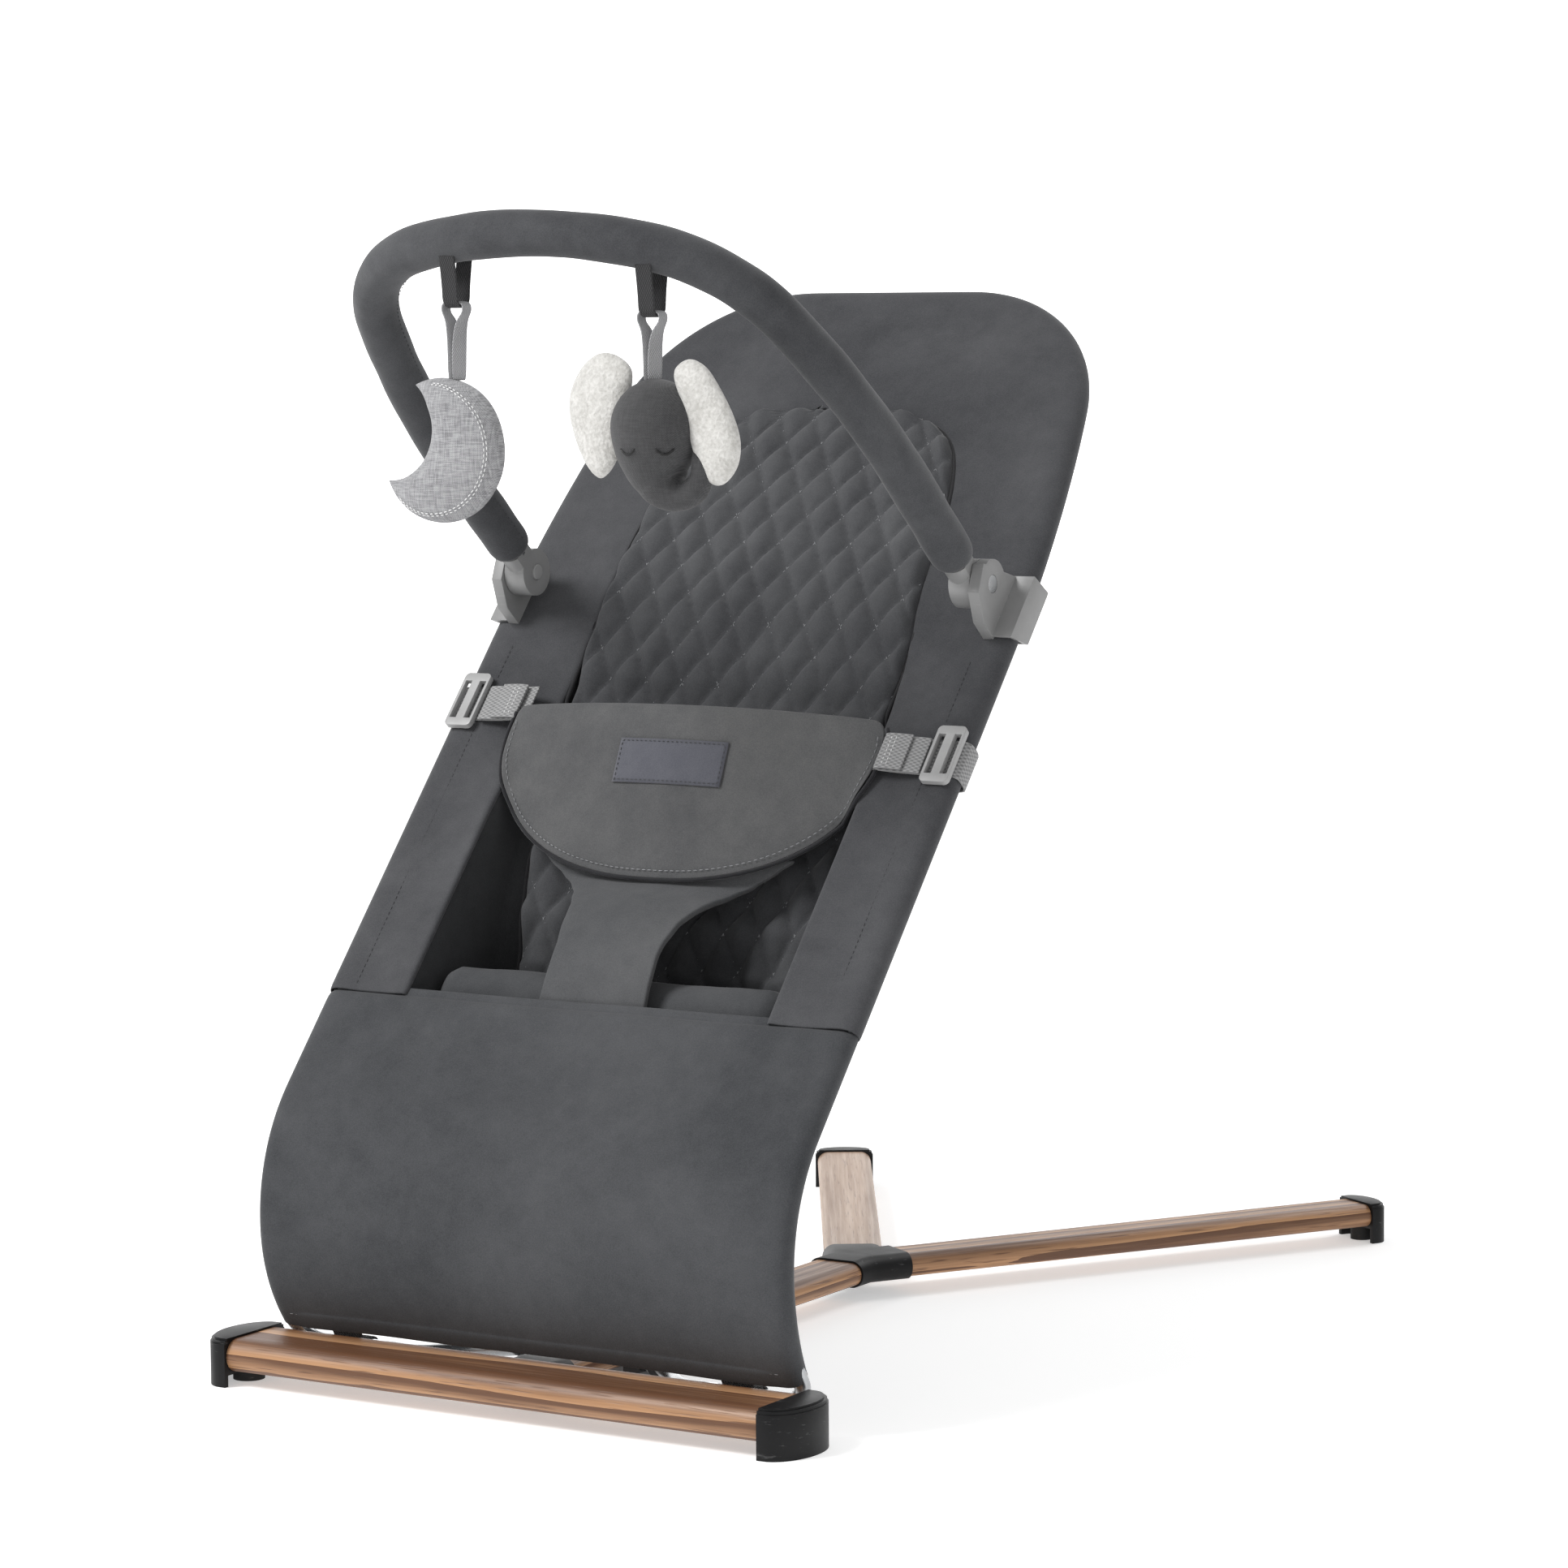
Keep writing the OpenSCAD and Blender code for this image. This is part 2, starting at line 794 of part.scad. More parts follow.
// Edge of the panel seen from the side, r from the spring curve's centre, from the seam to the hem
function apron_edge(r) =
    let (top_a = 90 + rail_slope, hem_a = spring_end - 1)
    concat(
        [[spring_y + r * cos(top_a), spring_z + r * sin(top_a)] + (rail_drop + 1.8) * rail_dir],
        [for (i = [0:24]) let (a = top_a + i * (hem_a - top_a) / 24)
            [spring_y + r * cos(a), spring_z + r * sin(a)]]
    );

// Part of the panel from x0 to x1, inside radius r, thickness t
module apron_sheet(r, t, x0, x1) {
    inner = apron_edge(r);
    translate([x0, 0, 0])
        side_on()
            linear_extrude(x1 - x0)
                polygon(concat(apron_edge(r + t), [for (i = [len(inner) - 1:-1:0]) inner[i]]));
}

// Elastic band from the hem to a ring round the level run of the rod
module elastic_right() {
    hem = [spring_y + (spring_r + 3) * cos(spring_end - 8), spring_z + (spring_r + 3) * sin(spring_end - 8)];
    color([0.1, 0.1, 0.1])
        translate([119, 0, 0])
            side_on()
                linear_extrude(20)
                    difference() {
                        union() {
                            translate([run_y, run_z])
                                circle(rod_r + 1.6);
                            band([hem, [run_y - rod_r - 0.3, run_z]], 1.4);
                        }
                        translate([run_y, run_z])
                            circle(rod_r + 0.1);
                    }
}

module elastic_left() {
    on_left()
        elastic_right();
}

// ---------- belt ----------

bib_r = 520;
bib_tilt = 17;
bib_s = 165;
bib_off = 24;
bib_half = 127;
bib_drop = 76;
bib_thickness = 6;

// Bib frame: leans back from the rails' slope, Y up its face
module in_bib() {
    in_seat()
        translate([0, bib_s, bib_off])
            rotate([bib_tilt, 0, 0])
                children();
}

// Straight top edge and a half-elliptical lower edge
module bib_outline(half, drop, top) {
    polygon(concat(
        [[half, top], [-half, top]],
        [for (i = [0:24]) [-half * cos(i * 7.5), -drop * sin(i * 7.5)]]
    ));
}

// Part of a tube whose length runs up the bib, with its crown at the bib's face
module bib_shell(depth, thickness) {
    translate([0, 120, -bib_r - depth])
        rotate([90, 0, 0])
            difference() {
                cylinder(r = bib_r, h = 240, $fn = 256);
                translate([0, 0, -1])
                    cylinder(r = bib_r - thickness, h = 242, $fn = 256);
            }
}

module belt_bib() {
    color(charcoal)
        difference() {
            in_bib()
                intersection() {
                    bib_shell(0, bib_thickness);
                    translate([0, 0, -40])
                        linear_extrude(60)
                            bib_outline(bib_half, bib_drop, 29);
                }
            in_seat()
                for (s = [0, 1])
                    mirror([s, 0, 0])
                        translate([118, 60, -60 + sleeve_half + gap])
                            cube([30, 180, 60]);
        }
}

// Under layer of the bib, cut away towards the strap
backing_outline = [[94, 12], [96, -20], [84, -44], [64, -56], [40, -60]];

module bib_backing() {
    color(charcoal)
        in_bib()
            intersection() {
                bib_shell(bib_thickness + gap, 2.5);
                translate([0, 0, -40])
                    linear_extrude(60)
                        polygon(concat(backing_outline, mirrored(backing_outline)));
            }
}

// Strap that runs from under the bib down between the legs to the seat's edge
strap_line = [[106, -6.8], [98, -10], [88, -7.5], [78, -1.5], [62, 4], [40, 5], [14, 1]];
strap_outline = [[56, 104], [50, 94], [44, 80], [38, 62], [34, 40], [35, 10]];

module crotch_strap() {
    color(charcoal)
        intersection() {
            seat_profile(pocket_x)
                polygon(concat([for (p = strap_line) p + [0, 2]],
                    [for (i = [len(strap_line) - 1:-1:0]) strap_line[i] - [0, 2]]));
            in_seat()
                translate([0, 0, -60])
                    linear_extrude(120)
                        polygon(concat(strap_outline, mirrored(strap_outline)));
        }
}

// Blank label sewn on the bib
module label_patch() {
    color([0.3, 0.3, 0.35])
        in_bib()
            intersection() {
                bib_shell(-0.8, 0.7);
                translate([0, -8, -20])
                    linear_extrude(40)
                        square([72, 27], center = true);
            }
}

web_width = 24;
web_off = sleeve_half + 1.2;

// Webbing from the bib over the rail and round it
module webbing(s) {
    color(light_web)
        in_seat()
            translate([0, s + web_width / 2, 0])
                rotate([90, 0, 0])
                    linear_extrude(web_width)
                        band([[129, 9.4], [150, web_off], [rail_x + 8.4, web_off],
                            [rail_x + 8.4, -8], [rail_x - 10, -8]], 1.4);
}

web_s_left = 203;
web_s_right = 180;

module webbing_right() {
    webbing(web_s_right);
}

module webbing_left() {
    on_left()
        webbing(web_s_left);
}

// Three-bar strap adjuster lying on the webbing at the rail
module buckle(s) {
    bars = 5;
    color([0.75, 0.75, 0.75])
        in_seat()
            translate([rail_x - 3, s, web_off + 1])
                linear_extrude(3.6)
                    difference() {
                        round_rect(18, 38, 3);
                        for (x = [-1, 1])
                            translate([x * bars, 0])
                                square([4.4, 27], center = true);
                    }
}

module buckle_right() {
    buckle(web_s_right);
}

module buckle_left() {
    on_left()
        buckle(web_s_left);
}

// ---------- toy bar clamps ----------

clamp_inner = 158;
clamp_outer = 177;
rail_grip = sleeve_half + 0.4;

// Side plate with the pivot at one end and a jaw round the covered rail at the other
module bar_clamp_right() {
    color(grey_plastic)
        in_seat()
            difference() {
                union() {
                    translate([clamp_inner, 0, 0])
                        side_on()
                            linear_extrude(7) {
                                polygon([[288, 44], [306, 9], [306, rail_grip], [263, rail_grip], [263, 22],
                                    [272, 38]]);
                                translate([pivot_s, pivot_off])
                                    circle(hub_r);
                            }
                    translate([clamp_inner, 0, 0])
                        side_on()
                            linear_extrude(clamp_outer - clamp_inner)
                                polygon([[306, 10], [309, -9], [272, -9], [263, 10]]);
                }
                translate([clamp_inner - 1, 240, -rail_grip])
                    cube([rail_x + rail_grip - clamp_inner + 1, 100, 2 * rail_grip]);
                translate([rail_x - 20, 240, -rail_grip - 20])
                    cube([20, 100, 20]);
                translate([0, pivot_s, pivot_off])
                    rotate([0, 90, 0])
                        rod(pivot_pin_r + 0.04, 200);
                translate([clamp_inner + 4.5, pivot_s, pivot_off])
                    rotate([0, 90, 0])
                        rod(5.2, 20);
            }
}

module bar_clamp_left() {
    on_left()
        bar_clamp_right();
}

// Shouldered screws that the toy bar turns on, their heads sunk in the clamps
module pivot_screws() {
    color("silver")
        for (s = [0, 1])
            mirror([s, 0, 0])
                translate([0, pivot_y, pivot_z])
                    rotate([0, 90, 0]) {
                        translate([0, 0, hub_inner + 4])
                            rod(pivot_pin_r, clamp_inner + 5 - hub_inner - 4);
                        translate([0, 0, clamp_inner + 4.6])
                            rod(5, 2);
                    }
}

// ---------- toy bar ----------

// Right half of the arch's middle line, from its foot to the top
function arch_side(foot) = concat(
    [[arch_x, foot, 0]],
    [for (i = [0:4]) let (a = i * (90 - bend_angle) / 4)
        [arch_x - flank_r * (1 - cos(a)), arch_straight + flank_r * sin(a), 0]],
    [for (i = [1:9]) let (a = 90 - bend_angle + i * (bend_angle - top_angle) / 9)
        [(top_r - bend_r) * sin(top_angle) + bend_r * cos(a),
            arch_reach - top_r + (top_r - bend_r) * cos(top_angle) + bend_r * sin(a), 0]],
    [for (i = [1:4]) let (a = 90 - top_angle + i * top_angle / 4)
        [top_r * cos(a), arch_reach - top_r + top_r * sin(a), 0]]
);

// The whole arch as a round bar
module arch(r, foot) {
    right = arch_side(foot);
    left = [for (i = [len(right) - 2:-1:0]) [-right[i][0], right[i][1], 0]];
    bent_rod(concat(right, left), r, [1, 0, 0]);
}

module toy_bar_tube() {
    color("silver")
        in_arch()
            arch(tube_r, 17);
}

module toy_bar_sleeve() {
    color(charcoal)
        in_arch()
            difference() {
                arch(sleeve_r, 21);
                arch(tube_r + gap, 18);
            }
}

// Knuckle on each end of the tube, turning on the pivot screw beside the clamp
module bar_hub_right() {
    color(grey_plastic)
        in_arch()
            difference() {
                union() {
                    translate([hub_inner, 0, 0])
                        rotate([0, 90, 0])
                            rod(hub_r, hub_outer - hub_inner);
                    translate([arch_x, 0, 0])
                        rotate([-90, 0, 0])
                            intersection() {
                                rod(9, 20.6);
                                translate([hub_inner - arch_x, -10, 0])
                                    cube([hub_outer - hub_inner, 20, 21]);
                            }
                }
                translate([arch_x, 16.8, 0])
                    rotate([-90, 0, 0])
                        rod(tube_r + 0.1, 10);
                translate([hub_inner + 3.5, 0, 0])
                    rotate([0, 90, 0])
                        rod(pivot_pin_r + 0.05, 20);
                translate([hub_inner - 1, 0, 0])
                    rotate([0, 90, 0])
                        rod(button_r + 0.1, 4.6);
            }
}

module bar_hub_left() {
    on_left()
        bar_hub_right();
}

// Round release button in the inner face of the knuckle
module bar_button_right() {
    color(grey_plastic)
        in_arch()
            translate([hub_inner - 1.2, 0, 0])
                rotate([0, 90, 0])
                    rod(button_r, 2.6);
}

module bar_button_left() {
    on_left()
        bar_button_right();
}

// ---------- toys ----------

// Band sewn to the sleeve: two sides, and a half-round bottom that the strap hangs in
module hanging_loop(x) {
    color([0.1, 0.1, 0.1])
        translate([x - 5, arch_top_y, hang_z])
            side_on()
                linear_extrude(10) {
                    difference() {
                        circle(loop_r + loop_band);
                        circle(loop_r);
                        translate([-20, 0])
                            square([40, 20]);
                    }
                    for (s = [-1, 1])
                        translate([s * (loop_r + loop_band / 2) - loop_band / 2, 0])
                            square([loop_band, loop_drop - sqrt(sleeve_r * sleeve_r - pow(loop_r + loop_band, 2)) - 3.2]);
                }
}

// Height of the arch's middle falls away from its top along the curve
function arch_fall(x) = top_r - sqrt(top_r * top_r - x * x);

module moon_loop() {
    translate(hang_shift(moon_x))
        hanging_loop(moon_x);
}

module elephant_loop() {
    translate(hang_shift(elephant_x))
        hanging_loop(elephant_x);
}

// Shift from the arch's top to the place where a loop hangs at x
function hang_shift(x) = [0, -arch_fall(x) * cos(arch_slope), -arch_fall(x) * sin(arch_slope)];

// Linen tape: a flat ring through the loop and a tail down to the toy
module toy_strap(tail) {
    half = 7;
    color(linen)
        rotate([90, 0, 0])
            linear_extrude(6, center = true) {
                strip([[half, 0], [-half, 0], [-half, -6], [-2, -12], [-2, -12 - tail], [2, -12 - tail], [2, -12],
                    [half, -6], [half, 0]], 1.2);
            }
}

module moon_strap() {
    translate(hang_shift(moon_x))
        translate([moon_x, arch_top_y, hang_z])
            toy_strap(30.8);
}

// Stuffed crescent, its opening up and to the left
moon_r = 40;
moon_thickness = 24;
moon_drop = 83;

module moon_toy() {
    color(linen)
        translate(hang_shift(moon_x))
            translate([moon_x - 10, arch_top_y, hang_z - moon_drop])
                rotate([90, 0, 0])
                    linear_extrude(moon_thickness, center = true)
                        difference() {
                            circle(moon_r);
                            translate([-35, 13])
                                circle(34);
                        }
}

module elephant_strap() {
    translate(hang_shift(elephant_x))
        translate([elephant_x, arch_top_y, hang_z])
            toy_strap(25.6);
}

// Elephant frame: origin at the top of the head
module in_elephant() {
    translate(hang_shift(elephant_x))
        translate([elephant_x + 2, arch_top_y, hang_z - 38.4])
            children();
}

// Egg-shaped head, blunt at the top and narrow towards the trunk
head_profile = [[0, 0], [9, -1.5], [17, -6], [23, -13], [26.5, -22], [26.5, -30], [23.5, -41], [18, -51], [12, -59],
    [9, -63], [0, -63]];

module head_solid(grow) {
    in_elephant()
        translate([0, 0, grow])
            rotate_extrude()
                polygon([for (p = head_profile) [p[0] > 0 ? p[0] + grow : 0, p[1] - (p[1] < -60 ? 2 * grow : 0)]]);
}

module elephant_head() {
    color(charcoal)
        head_solid(0);
}

// Trunk: a short tube that curls up to the side
module elephant_trunk() {
    color(charcoal)
        difference() {
            in_elephant()
                translate([16, 0, -56])
                    rotate([90, 0, 0])
                        rotate([0, 0, 205])
                            rotate_extrude(angle = 155)
                                translate([14, 0])
                                    circle(7, $fn = 32);
            head_solid(0.15);
        }
}

// Plush ear: a flat oval disc beside the head
module elephant_ear(side) {
    color(plush)
        difference() {
            in_elephant()
                translate([side * 38, 4, -28])
                    rotate([90, 0, side * 12])
                        linear_extrude(9, center = true) {
                            circle(17);
                            translate([0, 14])
                                circle(13);
                            translate([side * 2, -16])
                                circle(13);
                        }
            head_solid(0.15);
        }
}

module elephant_ear_left() {
    elephant_ear(-1);
}

module elephant_ear_right() {
    elephant_ear(1);
}

front_crossbar();
front_foot_left();
front_foot_right();
foot_pads();
front_joint();
centre_beam();
rear_joint();
rear_leg_left();
rear_leg_right();
rear_foot_left();
rear_foot_right();
base_screws();
recline_block();
recline_axle();
axle_nut();
detent_balls();
recline_cheek_left();
recline_cheek_right();
spring_arm_left();
spring_arm_right();
side_rail_left();
side_rail_right();
head_hoop();
rail_joiner_left();
rail_joiner_right();
back_cover();
side_wing_left();
side_wing_right();
seat_pocket();
quilted_pad();
seat_cushion();
front_apron();
elastic_left();
elastic_right();
belt_bib();
bib_backing();
crotch_strap();
label_patch();
webbing_left();
webbing_right();
buckle_left();
buckle_right();
bar_clamp_left();
bar_clamp_right();
pivot_screws();
toy_bar_tube();
toy_bar_sleeve();
bar_hub_left();
bar_hub_right();
bar_button_left();
bar_button_right();
moon_loop();
elephant_loop();
moon_strap();
moon_toy();
elephant_strap();
elephant_head();
elephant_trunk();
elephant_ear_left();
elephant_ear_right();
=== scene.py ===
import math
import bmesh
import bpy
from mathutils import Matrix, Vector, noise


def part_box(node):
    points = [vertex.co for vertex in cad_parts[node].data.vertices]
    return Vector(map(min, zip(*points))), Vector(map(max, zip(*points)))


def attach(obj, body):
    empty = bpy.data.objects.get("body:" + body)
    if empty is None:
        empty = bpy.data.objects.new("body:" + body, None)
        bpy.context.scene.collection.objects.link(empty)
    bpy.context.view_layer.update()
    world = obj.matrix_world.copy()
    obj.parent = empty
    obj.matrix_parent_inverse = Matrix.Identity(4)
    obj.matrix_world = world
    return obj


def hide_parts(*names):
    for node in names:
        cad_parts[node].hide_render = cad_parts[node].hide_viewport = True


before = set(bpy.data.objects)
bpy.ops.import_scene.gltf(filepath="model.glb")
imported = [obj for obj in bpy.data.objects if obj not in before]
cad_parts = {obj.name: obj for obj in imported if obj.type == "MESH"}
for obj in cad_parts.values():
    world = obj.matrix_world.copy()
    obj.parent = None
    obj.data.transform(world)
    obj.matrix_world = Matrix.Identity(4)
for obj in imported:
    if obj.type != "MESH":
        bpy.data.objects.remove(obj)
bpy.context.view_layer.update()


# ---------------------------------------------------------------------------
# Studio. A pale floor with a white wall far behind it, one large soft light
# above and to the left, two weaker ones to fill the shadows, and the camera at
# the buyer's eye.
# ---------------------------------------------------------------------------
crossbar_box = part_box("front_crossbar")
front_y = (crossbar_box[0].y + crossbar_box[1].y) / 2
camera_spot = Vector((1.4994, front_y - 2.1510, 0.6016))
turn, dip, tip = math.radians(31.57), math.radians(5.66), math.radians(-0.48)
ahead = Vector((-math.sin(turn) * math.cos(dip), math.cos(turn) * math.cos(dip), -math.sin(dip)))
level_right = Vector((math.cos(turn), math.sin(turn), 0))
level_up = level_right.cross(ahead)
right = level_right * math.cos(tip) + level_up * math.sin(tip)
up = level_up * math.cos(tip) - level_right * math.sin(tip)

camera_data = bpy.data.cameras.new("Camera")
camera_data.sensor_width = 36
camera_data.lens = 112.6
camera_data.clip_end = 60
camera = bpy.data.objects.new("Camera", camera_data)
bpy.context.scene.collection.objects.link(camera)
camera.matrix_world = Matrix((
    (right.x, up.x, -ahead.x, camera_spot.x),
    (right.y, up.y, -ahead.y, camera_spot.y),
    (right.z, up.z, -ahead.z, camera_spot.z),
    (0, 0, 0, 1),
))
bpy.context.scene.camera = camera
bpy.context.scene.view_settings.view_transform = "Standard"

paper = bpy.data.materials.new("studio floor")
paper.use_nodes = True
paper_shader = paper.node_tree.nodes["Principled BSDF"]
paper_shader.inputs["Base Color"].default_value = (0.84, 0.84, 0.84, 1)
paper_shader.inputs["Roughness"].default_value = 0.9
paper_shader.inputs["Emission Color"].default_value = (1, 1, 1, 1)
paper_shader.inputs["Emission Strength"].default_value = 0.42
floor_mesh = bpy.data.meshes.new("studio_floor")
floor_mesh.from_pydata([(-20, -20, 0), (20, -20, 0), (20, 20, 0), (-20, 20, 0)], [], [(0, 1, 2, 3)])
floor_mesh.materials.append(paper)
studio_floor = bpy.data.objects.new("studio_floor", floor_mesh)
bpy.context.scene.collection.objects.link(studio_floor)

sky = bpy.data.worlds.new("studio air")
sky.use_nodes = True
sky.node_tree.nodes["Background"].inputs["Color"].default_value = (1.0, 1.0, 1.0, 1)
sky.node_tree.nodes["Background"].inputs["Strength"].default_value = 0.42
bpy.context.scene.world = sky


def softbox(name, spot, target, size, watts):
    lamp_data = bpy.data.lights.new(name, "AREA")
    lamp_data.shape = "SQUARE"
    lamp_data.size = size
    lamp_data.energy = watts
    lamp = bpy.data.objects.new(name, lamp_data)
    bpy.context.scene.collection.objects.link(lamp)
    lamp.location = spot
    lamp.rotation_mode = "QUATERNION"
    lamp.rotation_quaternion = (Vector(target) - Vector(spot)).to_track_quat("-Z", "Y")


softbox("key light", (-1.5, -2.0, 2.7), (0, -0.1, 0.25), 1.2, 98)
softbox("fill light", (2.4, -1.2, 1.2), (0, 0, 0.25), 1.8, 9)
softbox("back light", (0.6, 2.0, 2.2), (0, 0, 0.3), 1.4, 24)

# A white paper wall far behind the object, lit evenly.
wall_paper = bpy.data.materials.new("studio wall")
wall_paper.use_nodes = True
wall_shader = wall_paper.node_tree.nodes["Principled BSDF"]
wall_shader.inputs["Base Color"].default_value = (0.9, 0.9, 0.9, 1)
wall_shader.inputs["Emission Color"].default_value = (1, 1, 1, 1)
wall_shader.inputs["Emission Strength"].default_value = 1.0
wall_centre = Vector((ahead.x, ahead.y, 0)).normalized() * 7.0
wall_mesh = bpy.data.meshes.new("studio_wall")
wall_mesh.from_pydata([tuple(wall_centre + level_right * x + Vector((0, 0, z)))
                       for x, z in ((-6, -0.01), (6, -0.01), (6, 5), (-6, 5))], [], [(0, 1, 2, 3)])
wall_mesh.materials.append(wall_paper)
studio_wall = bpy.data.objects.new("studio_wall", wall_mesh)
bpy.context.scene.collection.objects.link(studio_wall)


# ---------------------------------------------------------------------------
# Wooden bars. The crossbar, centre beam and two rear legs are oiled hardwood
# planks milled to a flat oval, their grain running along each bar. The frame
# has their shape; the grain and pores are made here.
# ---------------------------------------------------------------------------
def new_group(name, takes, gives):
    tree = bpy.data.node_groups.new(name, "ShaderNodeTree")
    for label, kind, value in takes:
        socket = tree.interface.new_socket(label, in_out="INPUT", socket_type=kind)
        if value is not None:
            socket.default_value = value
    for label, kind in gives:
        tree.interface.new_socket(label, in_out="OUTPUT", socket_type=kind)
    return tree, tree.nodes.new("NodeGroupInput"), tree.nodes.new("NodeGroupOutput")


def add(tree, kind, settings=None, **values):
    made = tree.nodes.new(kind)
    for key, value in (settings or {}).items():
        setattr(made, key, value)
    for key, value in values.items():
        socket = made.inputs[int(key[1:])] if key[0] == "i" and key[1:].isdigit() else made.inputs[key]
        if isinstance(value, bpy.types.NodeSocket):
            tree.links.new(value, socket)
        else:
            socket.default_value = value
    return made


def stretched(tree, vector, scale):
    return add(tree, "ShaderNodeVectorMath", {"operation": "MULTIPLY"}, i0=vector, i1=scale).outputs[0]


def noisy(tree, vector, scale, detail=2.0, roughness=0.5):
    return add(tree, "ShaderNodeTexNoise", None, Vector=vector, Scale=scale, Detail=detail,
               Roughness=roughness).outputs["Fac"]


def remap(tree, value, low, high, to_low=0.0, to_high=1.0):
    made = add(tree, "ShaderNodeMapRange", None, Value=value)
    for label, amount in (("From Min", low), ("From Max", high), ("To Min", to_low), ("To Max", to_high)):
        made.inputs[label].default_value = amount
    return made.outputs[0]


def blended(tree, factor, first, second, mode="MIX"):
    made = add(tree, "ShaderNodeMix", {"data_type": "RGBA", "blend_type": mode}, i0=factor, i6=first, i7=second)
    return made.outputs[2]


def reckon(tree, operation, first, second):
    return add(tree, "ShaderNodeMath", {"operation": operation}, i0=first, i1=second).outputs[0]


grain, grain_in, grain_out = new_group(
    "wood grain",
    [("Vector", "NodeSocketVector", None), ("Light", "NodeSocketColor", (0.42, 0.21, 0.11, 1)),
     ("Dark", "NodeSocketColor", (0.16, 0.065, 0.03, 1))],
    [("Color", "NodeSocketColor"), ("Roughness", "NodeSocketFloat"), ("Height", "NodeSocketFloat")],
)
spread = stretched(grain, grain_in.outputs["Vector"], (5.0, 60.0, 60.0))
drift = noisy(grain, spread, 0.55, 3.0, 0.55)
rings = add(grain, "ShaderNodeTexWave", {"wave_type": "RINGS", "rings_direction": "X", "wave_profile": "SAW"},
            Vector=stretched(grain, grain_in.outputs["Vector"], (0.9, 11.0, 15.0)), Scale=2.6, Distortion=5.5,
            Detail=3.0).outputs["Fac"]
fibres = noisy(grain, stretched(grain, grain_in.outputs["Vector"], (9.0, 420.0, 420.0)), 1.0, 3.0, 0.6)
pores = remap(grain, noisy(grain, stretched(grain, grain_in.outputs["Vector"], (38.0, 900.0, 900.0)), 1.0, 1.0),
              0.60, 0.72)
bands = reckon(grain, "ADD", reckon(grain, "MULTIPLY", rings, 0.62), reckon(grain, "MULTIPLY", drift, 0.45))
depth = remap(grain, reckon(grain, "ADD", bands, reckon(grain, "MULTIPLY", fibres, 0.55)), 0.40, 0.98)
toned = blended(grain, depth, grain_in.outputs["Light"], grain_in.outputs["Dark"])
pored = blended(grain, reckon(grain, "MULTIPLY", pores, 0.8), toned, grain_in.outputs["Dark"])
grain.links.new(pored, grain_out.inputs["Color"])
grain.links.new(remap(grain, fibres, 0.3, 0.7, 0.42, 0.56), grain_out.inputs["Roughness"])
grain.links.new(reckon(grain, "SUBTRACT", reckon(grain, "MULTIPLY", fibres, 0.4), pores), grain_out.inputs["Height"])


def plain_finish(name):
    finish = bpy.data.materials.new(name)
    finish.use_nodes = True
    return finish, finish.node_tree, finish.node_tree.nodes["Principled BSDF"]


def surface(finish_tree, shader, source, strength, distance):
    """Feeds a group's colour, roughness and height into a material's own shader."""
    finish_tree.links.new(source.outputs["Color"], shader.inputs["Base Color"])
    finish_tree.links.new(source.outputs["Roughness"], shader.inputs["Roughness"])
    bump = add(finish_tree, "ShaderNodeBump", None, Height=source.outputs["Height"])
    bump.inputs["Strength"].default_value = strength
    bump.inputs["Distance"].default_value = distance
    finish_tree.links.new(bump.outputs["Normal"], shader.inputs["Normal"])


def placed_group(finish_tree, tree, vector, **values):
    made = finish_tree.nodes.new("ShaderNodeGroup")
    made.node_tree = tree
    finish_tree.links.new(vector, made.inputs["Vector"])
    for label, value in values.items():
        made.inputs[label].default_value = value
    return made


def object_place(finish_tree, shift=(0, 0, 0), turn_z=0.0):
    coords = finish_tree.nodes.new("ShaderNodeTexCoord")
    mapping = finish_tree.nodes.new("ShaderNodeMapping")
    mapping.inputs["Location"].default_value = shift
    mapping.inputs["Rotation"].default_value = (0, 0, math.radians(turn_z))
    finish_tree.links.new(coords.outputs["Object"], mapping.inputs["Vector"])
    return mapping.outputs["Vector"]


def dress(node_name, finish):
    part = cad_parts[node_name]
    if not part.data.materials:
        part.data.materials.append(finish)
    for slot in part.material_slots:
        slot.material = finish


oak_light, oak_dark = (0.56, 0.305, 0.150, 1), (0.130, 0.054, 0.022, 1)
leg_lean = 31.8
for bar, lean, shift, light, dark in (
    ("front_crossbar", 0, (0.3, 0.347, 0.004), oak_light, oak_dark),
    ("centre_beam", -90, (0.9, 0.012, 0.03), oak_light, oak_dark),
    ("rear_leg_right", -(90 - leg_lean), (0.2, 0.05, 0.013), oak_light, oak_dark),
    # The left rear leg gets paler Light and Dark tones than the other bars: this is painted sheen, standing in for
    # the light that falls on its top at a grazing angle, not a different wood.
    ("rear_leg_left", -(90 + leg_lean), (0.6, 0.02, 0.02), (0.47, 0.33, 0.235, 1), (0.21, 0.128, 0.082, 1)),
):
    oiled, oiled_tree, oiled_shader = plain_finish("oiled wood " + bar.replace("_", " "))
    figure = placed_group(oiled_tree, grain, object_place(oiled_tree, shift, lean), Light=light, Dark=dark)
    surface(oiled_tree, oiled_shader, figure, 0.35, 0.0006)
    oiled_shader.inputs["Coat Weight"].default_value = 0.12
    oiled_shader.inputs["Coat Roughness"].default_value = 0.35
    dress(bar, oiled)


